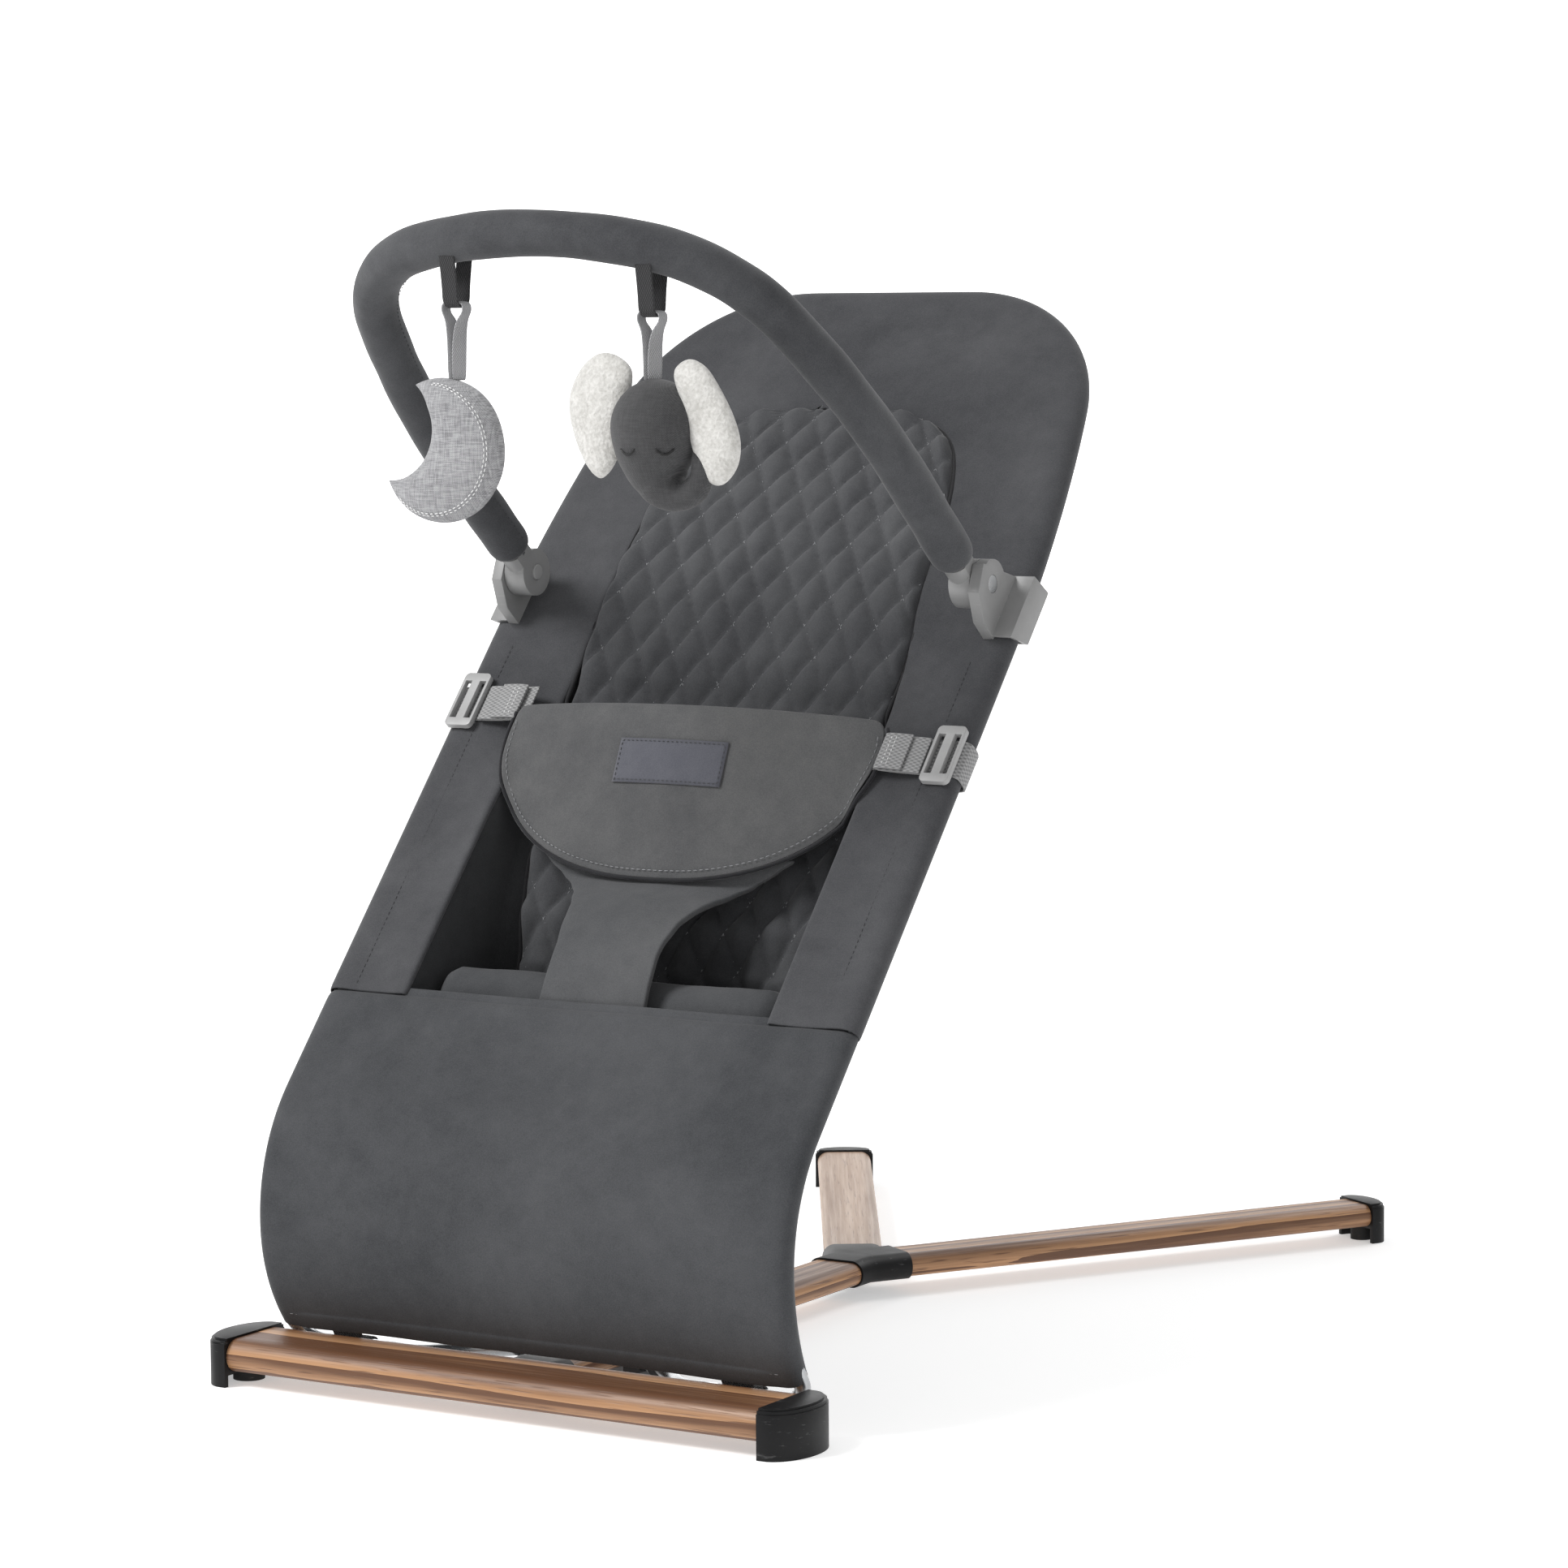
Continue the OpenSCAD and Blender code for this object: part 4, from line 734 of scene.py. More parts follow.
piping_cloth = microfibre("dark piping", (0.013, 0.013, 0.014, 1), (0.024, 0.024, 0.026, 1), 20.0, 0.3)
rim_points = [(pad_half(0.052 + 0.006 * i), 0.052 + 0.006 * i) for i in range(36)] + pad_crown[1:]
piping_side = [(x + 0.0006, s) for x, s in rim_points if s < 0.4279]
piping_line = piping_side + [(-x, s) for x, s in reversed(piping_side)]
piping_path = [on_seat(x, s, max(pad_level(min(abs(x), pad_half(s)) * (1 if x > 0 else -1), s) + 0.0006,
                                 between(inner_off, s) - 0.0004 if s > 0.21 else -1)) for x, s in piping_line]
piping = swept("pad_piping", piping_path, [0.00125] * len(piping_path), piping_cloth, 8)
settled(piping, ("SUBSURF", {"levels": 1, "render_levels": 1}))
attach(piping, "seat")


# ---------------------------------------------------------------------------
# Front apron. The same microfibre, stitched to the cover across the seam,
# stretched down over the spring curve and hemmed at the foot. A sleeve along
# each side holds the rods; two black elastic loops tie the hem to the frame.
# ---------------------------------------------------------------------------
apron_cloth = microfibre("apron microfibre", (0.038, 0.040, 0.044, 1), (0.073, 0.075, 0.080, 1), 7.5)
seam_drop, arc_top, arc_end = 0.064, 138.7, 213.4
arc_length = spring_radius * math.radians(arc_end - arc_top)
apron_length = seam_drop + arc_length


def on_apron(x, down, off):
    """A point of the apron: down from the seam, off in front of the rods' line."""
    if down < seam_drop:
        return on_seat(x, -down, off)
    return on_curve(x, arc_top + math.degrees((down - seam_drop) / spring_radius), off)


apron_ring = [(-0.0095, -0.0052), (-0.006, -0.0058), (-0.002, -0.0061), (0.0020, -0.0056), (0.0044, -0.0036),
              (0.0054, 0.0), (0.0044, 0.0036), (0.0020, 0.0056), (-0.002, 0.0064), (-0.008, 0.0062)]
apron_rows = []
apron_steps = [-0.0060, -0.0040, -0.0015, 0.0, 0.0008, 0.002, 0.0045] + [0.0085 + 0.0042 * i for i in range(43)]
apron_steps += [apron_length - 0.0108, apron_length - 0.0100, apron_length - 0.0092, apron_length - 0.006,
                apron_length - 0.003, apron_length - 0.0008, apron_length]
apron_steps = sorted(step for step in apron_steps if step <= apron_length)
for down in apron_steps:
    low = min(1, max(0, (down - 0.150) / 0.05))
    rail_now = rail_half - 0.0022 * low * low
    tuck = -0.0024 * (1 - min(1, max(0, down) / 0.0045)) ** 2
    under = 0.90 if down < 0 else 1.0
    fold = 0.0008 if down > apron_length - 0.0096 else 0.0
    half = [(rail_now + d * under, (off + tuck * (1 if off > 0 else 0)) * under) for d, off in apron_ring]
    front_x = rail_now - 0.008
    face = []
    for k in range(1, 48):
        x = front_x * (1 - k / 24)
        tight = 1 - (x / front_x) ** 2
        give = (-0.0012 * tight + ripple((x, down, 2), 14, 0.0016) * tight
                + ripple((x * 0.4, down, 7), 45, 0.0006) * tight)
        face.append((x, 0.0062 + tuck + fold + give))
    apron_rows.append([on_apron(x, down, off) for x, off in half + face]
                      + [on_apron(-x, down, off) for x, off in reversed(half)])
apron = lofted("apron_sheet", apron_rows, apron_cloth)
settled(apron, ("SOLIDIFY", {"thickness": 0.0012, "offset": 1.0}), ("SUBSURF", {"levels": 1, "render_levels": 1}))
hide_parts("front_apron")
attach(apron, "seat")


def apron_run(down, reach_x, lift):
    return [on_apron(reach_x * (1 - k / 60), down, 0.0062 + lift - 0.0012 * (1 - (1 - k / 60) ** 2)
                     + ripple((reach_x * (1 - k / 60), down, 2), 14, 0.0016) * (1 - (1 - k / 60) ** 2))
            for k in range(121)]


stitched("seam_topstitch", [apron_run(0.0062, 0.162, 0.00035)], grey_thread, "seat", 0.0036, 0.0026, 0.00026)
stitched("hem_topstitch", [apron_run(apron_length - 0.0088, 0.160, 0.00125)], grey_thread, "seat", 0.0036, 0.0027,
         0.00028)
for side_name, side_sign in (("left", -1), ("right", 1)):
    stitched("sleeve_topstitch_" + side_name,
             [[on_seat(side_sign * 0.1555, s, 0.0066) for s in (0.006 + 0.01 * i for i in range(25))]],
             dark_thread, "seat", 0.0036, 0.0026, 0.00022)

elastic_weave, elastic_in, elastic_out = new_group(
    "ribbed tape",
    [("Vector", "NodeSocketVector", None), ("Light", "NodeSocketColor", (0.03, 0.03, 0.03, 1)),
     ("Dark", "NodeSocketColor", (0.008, 0.008, 0.008, 1)), ("Rib", "NodeSocketFloat", 620.0)],
    [("Color", "NodeSocketColor"), ("Roughness", "NodeSocketFloat"), ("Height", "NodeSocketFloat")],
)
tape_x = add(elastic_weave, "ShaderNodeSeparateXYZ", None, Vector=elastic_in.outputs["Vector"])
across_sine = reckon(elastic_weave, "SINE", reckon(elastic_weave, "MULTIPLY", reckon(
    elastic_weave, "ADD", tape_x.outputs["X"], reckon(elastic_weave, "MULTIPLY", tape_x.outputs["Y"], 0.55)),
    reckon(elastic_weave, "MULTIPLY", elastic_in.outputs["Rib"], 6.2832)), 0.0)
along_sine = reckon(elastic_weave, "SINE", reckon(elastic_weave, "MULTIPLY", reckon(
    elastic_weave, "SUBTRACT", tape_x.outputs["X"], reckon(elastic_weave, "MULTIPLY", tape_x.outputs["Y"], 0.55)),
    reckon(elastic_weave, "MULTIPLY", elastic_in.outputs["Rib"], 6.2832)), 0.0)
woven = remap(elastic_weave, reckon(elastic_weave, "ADD", across_sine, along_sine), -1.6, 1.6)
fuzz = noisy(elastic_weave, elastic_in.outputs["Vector"], 2600.0, 2.0)
worn = reckon(elastic_weave, "ADD", reckon(elastic_weave, "MULTIPLY", woven, 0.8),
              reckon(elastic_weave, "MULTIPLY", fuzz, 0.2))
elastic_weave.links.new(blended(elastic_weave, worn, elastic_in.outputs["Dark"], elastic_in.outputs["Light"]),
                        elastic_out.inputs["Color"])
elastic_weave.links.new(remap(elastic_weave, woven, 0.0, 1.0, 0.9, 0.72), elastic_out.inputs["Roughness"])
elastic_weave.links.new(woven, elastic_out.inputs["Height"])


def tape(name, light, dark, rib, strength=0.7):
    finish, tree, shader = plain_finish(name)
    uv = tree.nodes.new("ShaderNodeUVMap")
    uv.uv_map = "UVMap"
    band = placed_group(tree, elastic_weave, uv.outputs["UV"], Light=light, Dark=dark, Rib=rib)
    surface(tree, shader, band, strength, 0.0004)
    shader.inputs["Sheen Weight"].default_value = 0.1
    return finish


black_elastic = tape("black elastic", (0.030, 0.030, 0.032, 1), (0.008, 0.008, 0.009, 1), 560.0)


def strap(name, path, width, thick, finish, sideways, rounds=1):
    """A flat strap along a path, its width along one direction that stays the same."""
    rows = []
    for spot in path:
        rows.append([spot + sideways * (width * (k / 6 - 0.5)) for k in range(7)])
    piece = lofted(name, rows, finish)
    settled(piece, ("SOLIDIFY", {"thickness": thick, "offset": 0.0}),
            ("BEVEL", {"width": thick * 0.3, "segments": 2}),
            ("SUBSURF", {"levels": rounds, "render_levels": rounds}))
    return piece


elastic_x, elastic_width, elastic_thick, elastic_ring = 0.129, 0.020, 0.0012, 0.0056
for side_name, side_sign in (("left", -1), ("right", 1)):
    loop_x = side_sign * elastic_x
    ring_path = [on_curve(loop_x, 202.0, 0.0034), on_curve(loop_x, 206.0, 0.0030)]
    for k in range(25):
        a = math.radians(178 + 15 * k)
        ring_path.append(Vector((loop_x, run_y + elastic_ring * math.cos(a), run_z + elastic_ring * math.sin(a))))
    elastic = strap("elastic_loop_" + side_name, ring_path, elastic_width, elastic_thick, black_elastic,
                    Vector((1, 0, 0)))
    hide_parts("elastic_" + side_name)
    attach(elastic, "seat")


# ---------------------------------------------------------------------------
# Seat cushion. A soft wadded roll that fills the front of the pocket and makes
# the raised lip under the child's knees. It is sewn in at both ends and swells
# between its seams.
# ---------------------------------------------------------------------------
lip_cloth = microfibre("lip microfibre", (0.046, 0.048, 0.052, 1), (0.078, 0.080, 0.084, 1), 8.0)
roll_section = [(0.008, -0.008), (0.018, -0.0055), (0.027, -0.0065), (0.034, -0.0115), (0.0365, -0.022),
                (0.0335, -0.040), (0.027, -0.054), (0.021, -0.060), (0.014, -0.053), (0.0095, -0.036),
                (0.0075, -0.020)]
roll_middle = (0.0215, -0.030)
roll_steps = 40
roll_rows = []
for k in range(roll_steps + 1):
    t = k / 20 - 1
    x = 0.1165 * (abs(t) ** 0.92) * (1 if t > 0 else -1)
    close = 1 - max(0, (abs(t) - 0.90) / 0.10) ** 2 * 0.45
    row = []
    for s, off in roll_section:
        ds, do = (s - roll_middle[0]) * close, (off - roll_middle[1]) * close
        row.append(on_seat(x, roll_middle[0] + ds - 0.0012 * math.cos(t * 1.4),
                           roll_middle[1] + do + ripple((x, s, off), 34, 0.0014)))
    roll_rows.append(row)
cushion = lofted("seat_cushion_roll", roll_rows, lip_cloth, loop=True)
roll_mesh = cushion.data
width = len(roll_section)
points = [tuple(v.co) for v in roll_mesh.vertices]
faces = [tuple(face.vertices) for face in roll_mesh.polygons]
faces += [tuple(range(width - 1, -1, -1)), tuple(roll_steps * width + k for k in range(width))]
bpy.data.objects.remove(cushion)
cushion = new_piece("seat_cushion_roll", points, faces, lip_cloth, [(p[0], p[2]) for p in points])


def plumped(piece, voxel, cap, frames=20, pressure=4.0):
    """Remeshes a closed piece and blows it up a little with the cloth solver, as wadding does."""
    settled(piece, ("REMESH", {"mode": "VOXEL", "voxel_size": voxel, "use_smooth_shade": True}))
    start = [v.co.copy() for v in piece.data.vertices]
    finish = piece.data.materials[0] if piece.data.materials else None
    solver = piece.modifiers.new("wadding", "CLOTH")
    solver.settings.use_pressure = True
    solver.settings.uniform_pressure_force = pressure
    solver.settings.effector_weights.gravity = 0.0
    solver.point_cache.frame_start, solver.point_cache.frame_end = 1, frames
    for number in range(1, frames + 1):
        bpy.context.scene.frame_set(number)
    graph = bpy.context.evaluated_depsgraph_get()
    blown = [v.co.copy() for v in piece.evaluated_get(graph).data.vertices]
    piece.modifiers.clear()
    bpy.context.scene.frame_set(1)
    for v, a, b in zip(piece.data.vertices, start, blown):
        move = b - a
        if move.length > cap:
            move = move.normalized() * cap
        v.co = a + move
    settled(piece, ("SUBSURF", {"levels": 1, "render_levels": 1}))
    if finish is not None and not piece.data.materials:
        piece.data.materials.append(finish)
    return piece


plumped(cushion, voxel=0.0045, cap=0.0020)
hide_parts("seat_cushion")
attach(cushion, "seat")


# ---------------------------------------------------------------------------
# Belt bib. A padded half-moon that crosses the child's lap, with a straight
# top edge and a topstitched curve below; behind it a thinner layer narrows
# into the crotch strap, which is sewn to the seat's edge.
# ---------------------------------------------------------------------------
bib_cloth = microfibre("bib microfibre", (0.065, 0.066, 0.069, 1), (0.116, 0.116, 0.116, 1), 8.5)
strap_cloth = microfibre("strap microfibre", (0.061, 0.063, 0.067, 1), (0.106, 0.107, 0.110, 1), 8.5)
bib_lean, bib_centre_s, bib_centre_off, bib_radius = math.radians(17), 0.165, 0.024, 0.52


def on_bib(x, y, z):
    """A point of the bib: x across, y up its face, z in front of its curved face."""
    fall = bib_radius - math.sqrt(bib_radius ** 2 - x * x)
    depth = z - fall
    return on_seat(x, bib_centre_s + y * math.cos(bib_lean) - depth * math.sin(bib_lean),
                   bib_centre_off + y * math.sin(bib_lean) + depth * math.cos(bib_lean))


def smooth_ring(corners, count):
    """A closed curve of evenly spaced points through the corners."""
    raw, size = [], len(corners)
    for k in range(size):
        p0, p1, p2, p3 = (Vector(corners[(k + j) % size]) for j in (-1, 0, 1, 2))
        for step in range(12):
            t = step / 12
            raw.append(0.5 * (2 * p1 + (p2 - p0) * t + (2 * p0 - 5 * p1 + 4 * p2 - p3) * t * t
                              + (3 * p1 - p0 - 3 * p2 + p3) * t ** 3))
    run = [0.0]
    for a, b in zip(raw, raw[1:] + raw[:1]):
        run.append(run[-1] + (b - a).length)
    ring, place = [], 0
    for k in range(count):
        goal = run[-1] * k / count
        while run[place + 1] < goal:
            place += 1
        t = (goal - run[place]) / max(run[place + 1] - run[place], 1e-9)
        ring.append(raw[place].lerp(raw[(place + 1) % len(raw)], t))
    return ring


def pillow(name, ring, front, back, place, finish, middle=None, rounds=12, lumps=0.0, edge=0.0):
    """A closed stuffed shape: a ring of seam points, with a front and a back that swell away from it."""
    centre = middle or sum(ring, Vector((0, 0))) / len(ring)
    points, faces, count = [], [], len(ring)
    for side, swell in ((1, front), (-1, back)):
        for j in range(rounds):
            w = 1 - (j / rounds) ** 1.25
            lift = (1 - w ** 2.6) ** 0.55
            for corner in ring:
                flat = centre + (corner - centre) * w
                z = side * (swell * lift + edge * (0 if j == 0 else 1))
                z += ripple((flat.x, flat.y, side), 30, lumps) * min(1, lift * 2)
                points.append(place(flat.x, flat.y, z))
        points.append(place(centre.x, centre.y, side * (swell + edge)))
    half = rounds * count + 1
    for side in (0, 1):
        base = side * half
        for j in range(rounds - 1):
            for k in range(count):
                a, b = base + j * count + k, base + j * count + (k + 1) % count
                quad = (a, b, b + count, a + count)
                faces.append(quad if side == 0 else quad[::-1])
        for k in range(count):
            a, b = base + (rounds - 1) * count + k, base + (rounds - 1) * count + (k + 1) % count
            faces.append((a, b, base + half - 1) if side == 0 else (b, a, base + half - 1))
    piece = new_piece(name, points, faces, finish, None)
    return settled(piece, ("WELD", {"merge_threshold": 0.00002}))


bib_corners = [(0.1262, 0.0215), (0.1270, 0.010), (0.1245, -0.0085), (0.1165, -0.0275), (0.102, -0.0445),
               (0.082, -0.0585), (0.058, -0.0685), (0.030, -0.0745), (0.0, -0.076)]
bib_corners += [(-x, y) for x, y in bib_corners[-2::-1]]
bib_corners += [(-0.1235, 0.0272), (-0.1165, 0.0290), (-0.085, 0.0290), (-0.04, 0.0288), (0.0, 0.0287),
                (0.04, 0.0288), (0.085, 0.0290), (0.1165, 0.0290), (0.1235, 0.0272)]
bib_ring = smooth_ring(bib_corners, 180)


def bib_place(x, y, z):
    spot = on_bib(x, y, z - 0.0030)
    rest = 0.0068 + 0.0012
    local = spot - on_seat(0, 0, 0)
    off = -local.y * math.sin(rail_slope) + local.z * math.cos(rail_slope)
    if abs(x) > 0.112 and off < rest + 0.004:
        lift = (rest + 0.004 - off) * (1 - 0.25 * (1 if z < 0 else 0)) * min(1, (abs(x) - 0.112) / 0.008)
        spot = spot + Vector((0, -math.sin(rail_slope), math.cos(rail_slope))) * lift * 0.85
    return spot


bib = pillow("belt_bib_pad", bib_ring, 0.0030, 0.0026, bib_place, bib_cloth, Vector((0, -0.014)), 14, 0.0007)
settled(bib, ("SUBSURF", {"levels": 1, "render_levels": 1}))
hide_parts("belt_bib")
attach(bib, "seat")


def inset_ring(ring, amount, centre):
    """The ring drawn in by a set amount towards its inside."""
    drawn, size = [], len(ring)
    for k in range(size):
        along = (ring[(k + 1) % size] - ring[k - 1]).normalized()
        inward = Vector((-along.y, along.x))
        if (centre - ring[k]).dot(inward) < 0:
            inward = -inward
        drawn.append(ring[k] + inward * amount)
    return drawn


bib_middle = Vector((0, -0.014))
bib_seam = [p for p in inset_ring(bib_ring, 0.0048, bib_middle) if p.y < 0.018]
start = max(range(len(bib_seam)), key=lambda k: (bib_seam[k] - bib_seam[k - 1]).length)
bib_seam = bib_seam[start:] + bib_seam[:start]


def bib_face(p):
    w = max(0.0, 1 - 0.0048 / 0.045)
    return bib_place(p.x, p.y, 0.0030 * (1 - w ** 2.6) ** 0.55 + 0.00055)


stitched("bib_topstitch", [[bib_face(p) for p in bib_seam]], grey_thread, "seat", 0.0037, 0.0028, 0.00029)
edge_binding = microfibre("bib binding", (0.011, 0.011, 0.013, 1), (0.022, 0.022, 0.025, 1), 20.0)
binding_path = [bib_place(p.x, p.y, -0.0002) for p in bib_ring if p.y < 0.026]
first = max(range(len(binding_path)), key=lambda k: (binding_path[k] - binding_path[k - 1]).length)
binding_path = binding_path[first:] + binding_path[:first]
bib_binding = swept("bib_binding", binding_path, [0.0011] * len(binding_path), edge_binding, 8)
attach(bib_binding, "seat")

under_corners = [(0.094, 0.012), (0.097, -0.020), (0.085, -0.0435), (0.064, -0.0575), (0.040, -0.0625), (0.0, -0.064)]
under_corners += [(-x, y) for x, y in under_corners[-2::-1]] + [(-0.06, 0.014), (0.0, 0.0145), (0.06, 0.014)]
under_layer = pillow("bib_under_layer", smooth_ring(under_corners, 96), 0.0012, 0.0010,
                     lambda x, y, z: on_bib(x, y, z - 0.0076), strap_cloth, Vector((0, -0.02)), 8, 0.0003)
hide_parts("bib_backing")
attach(under_layer, "seat")

strap_run = [(0.116, -0.0035), (0.108, -0.0058), (0.098, -0.0085), (0.088, -0.0062), (0.078, -0.0008),
             (0.062, 0.0045), (0.048, 0.0056), (0.036, 0.0052), (0.022, 0.0026), (0.010, -0.0010), (0.003, -0.0040)]
strap_half = [(0.003, 0.0350), (0.022, 0.0342), (0.040, 0.0340), (0.060, 0.0372), (0.072, 0.0410), (0.082, 0.0465),
              (0.092, 0.0545), (0.100, 0.0640), (0.108, 0.0760), (0.116, 0.0860)]
strap_rows = []
dense_run = []
for (s0, o0), (s1, o1) in zip(strap_run, strap_run[1:]):
    dense_run += [(s0 + (s1 - s0) * t / 3, o0 + (o1 - o0) * t / 3) for t in range(3)]
dense_run.append(strap_run[-1])
for s, off in dense_run:
    half = between(strap_half, s)
    bow = 0.0045 * min(1, max(0, (s - 0.05) / 0.05))
    strap_rows.append([on_seat(half * k / 10, s, off - bow * (k / 10) ** 2 + 0.0014 * (1 - (k / 10) ** 2)
                               + ripple((half * k / 10, s, 3), 40, 0.0008)) for k in range(-10, 11)])
crotch = lofted("crotch_strap_pad", strap_rows, strap_cloth)
settled(crotch, ("SOLIDIFY", {"thickness": 0.0042, "offset": 0.0}), ("BEVEL", {"width": 0.0013, "segments": 3}),
        ("SUBSURF", {"levels": 1, "render_levels": 1}))
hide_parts("crotch_strap")
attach(crotch, "seat")

# The label is a plain woven patch with a stitched border and nothing on it.
patch_cloth = microfibre("label patch", (0.080, 0.082, 0.098, 1), (0.118, 0.120, 0.137, 1), 15.0)
patch_rows = [[bib_place(-0.036 + 0.072 * k / 24, -0.0205 + 0.0265 * j / 9, 0.0037) for k in range(25)]
              for j in range(10)]
patch = lofted("label_patch_plain", patch_rows, patch_cloth)
settled(patch, ("SOLIDIFY", {"thickness": 0.0008, "offset": 0.0}))
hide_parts("label_patch")
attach(patch, "seat")
border = [(-0.0345, -0.019), (0.0345, -0.019), (0.0345, 0.0045), (-0.0345, 0.0045), (-0.0345, -0.019)]
border_line = []
for (x0, y0), (x1, y1) in zip(border, border[1:]):
    border_line += [bib_place(x0 + (x1 - x0) * t / 20, y0 + (y1 - y0) * t / 20, 0.0045) for t in range(21)]
stitched("label_stitches", [border_line], dark_thread, "seat", 0.0030, 0.0021, 0.00024)


# ---------------------------------------------------------------------------
# Belt webbing and adjusters. Grey ribbed webbing is sewn to each end of the
# bib, runs out over the rail and is tucked round it; a three-bar adjuster lies
# on it and the loose end is folded back over.
# ---------------------------------------------------------------------------
grey_webbing = tape("grey webbing", (0.36, 0.36, 0.36, 1), (0.15, 0.15, 0.153, 1), 420.0, 0.9)
pale_nylon = moulded("pale nylon", (0.36, 0.36, 0.36, 1), 0.38, 2400.0, 0.12)
seat_up = Vector((0, math.cos(rail_slope), math.sin(rail_slope)))
webbing_width, webbing_thick = 0.024, 0.0013
for side_name, side_sign, web_s in (("left", -1, 0.203), ("right", 1, 0.180)):
    run = [(0.1195, 0.0104), (0.129, 0.0094), (0.138, 0.0082), (0.150, 0.0075), (0.162, 0.0073), (0.170, 0.0072),
           (0.1735, 0.0066), (0.1758, 0.0046), (0.1764, 0.0014), (0.1762, -0.0036), (0.1748, -0.0068),
           (0.1718, -0.0080), (0.164, -0.0081), (0.158, -0.0080)]
    webbing = strap("belt_webbing_" + side_name, [on_seat(side_sign * x, web_s, off) for x, off in run],
                    webbing_width, webbing_thick, grey_webbing, seat_up)
    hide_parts("webbing_" + side_name)
    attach(webbing, "seat")
    flap_run = [(0.1535, 0.0098), (0.149, 0.0106), (0.143, 0.0106), (0.136, 0.0108), (0.130, 0.0114),
                (0.1265, 0.0120), (0.1262, 0.0132), (0.130, 0.0137), (0.136, 0.0132), (0.143, 0.0126)]
    flap = strap("webbing_tail_" + side_name, [on_seat(side_sign * x, web_s - 0.001, off) for x, off in flap_run],
                 webbing_width, 0.0012, grey_webbing, seat_up)
    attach(flap, "seat")
    lock_lines = [[on_seat(side_sign * x, web_s - 0.0095 + 0.0019 * k, 0.0141) for k in range(10)]
                  for x in (0.1305, 0.1335)]
    stitched("webbing_stitches_" + side_name, lock_lines, white_thread, "seat", 0.0028, 0.0020, 0.0003)


def softened(node_name, piece_name, body, finish, radius, sharp=32):
    """A moulding with its edges rounded, made from its own finished solid."""
    shape = bmesh.new()
    shape.from_mesh(bpy.data.objects[node_name].data)
    shape.transform(bpy.data.objects[node_name].matrix_world)
    bmesh.ops.remove_doubles(shape, verts=shape.verts, dist=0.00002)
    bmesh.ops.dissolve_limit(shape, angle_limit=math.radians(2), verts=shape.verts, edges=shape.edges)
    corners = [edge for edge in shape.edges if len(edge.link_faces) == 2
               and edge.calc_face_angle(0) > math.radians(sharp)]
    bmesh.ops.bevel(shape, geom=corners, offset=radius, segments=3, profile=0.5, affect="EDGES", clamp_overlap=True)
    bmesh.ops.triangulate(shape, faces=[face for face in shape.faces if len(face.verts) > 4])
    mesh = bpy.data.meshes.new(piece_name)
    shape.to_mesh(mesh)
    shape.free()
    mesh.materials.append(finish)
    piece = bpy.data.objects.new(piece_name, mesh)
    bpy.context.scene.collection.objects.link(piece)
    for face in mesh.polygons:
        face.use_smooth = True
    mesh.set_sharp_from_angle(angle=math.radians(40))
    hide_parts(node_name)
    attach(piece, body)
    return piece


for side_name in ("left", "right"):
    softened("buckle_" + side_name, "adjuster_" + side_name, "seat", pale_nylon, 0.0009)


# ---------------------------------------------------------------------------
# Toy bar clamps and knuckles. Grey nylon mouldings: the clamps grip the rails,
# the knuckles at the bar's ends turn beside them, and a round button in each
# knuckle frees it.
# ---------------------------------------------------------------------------
grey_moulding = moulded("grey moulding", (0.255, 0.255, 0.255, 1), 0.4, 2400.0, 0.16)
button_moulding = moulded("button moulding", (0.30, 0.30, 0.30, 1), 0.36, 2400.0, 0.12)
for side_name in ("left", "right"):
    softened("bar_clamp_" + side_name, "clamp_" + side_name, "seat", grey_moulding, 0.0008)
    softened("bar_hub_" + side_name, "knuckle_" + side_name, "toy_bar", grey_moulding, 0.0008)
    softened("bar_button_" + side_name, "release_" + side_name, "button_" + side_name, button_moulding, 0.0005)
dress("pivot_screws", bright_steel)


# ---------------------------------------------------------------------------
# Toy bar. A bent tube in a wadded sleeve of the same dark microfibre. The
# sleeve's seam runs along the inside of the arch, and its ends are gathered.
# ---------------------------------------------------------------------------
sleeve_cloth = microfibre("sleeve microfibre", (0.040, 0.041, 0.045, 1), (0.078, 0.080, 0.085, 1), 14.0)
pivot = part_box("pivot_screws")
pivot_y, pivot_z = (pivot[0].y + pivot[1].y) / 2, (pivot[0].z + pivot[1].z) / 2
arch_lean = math.radians(138.6)
bar_x, bar_straight, bend_radius, crown_radius = 0.150, 0.090, 0.088, 0.250
crown_turn, flank_turn = math.radians(17), math.radians(15)
flank_radius = ((bar_x - (crown_radius - bend_radius) * math.sin(crown_turn) - bend_radius * math.cos(flank_turn))
                / (1 - math.cos(flank_turn)))


def on_arch(x, y, out=0.0):
    """A point in the toy bar's leaning plane, y away from its pivots."""
    return Vector((x, pivot_y + y * math.cos(arch_lean) - out * math.sin(arch_lean),
                   pivot_z + y * math.sin(arch_lean) + out * math.cos(arch_lean)))


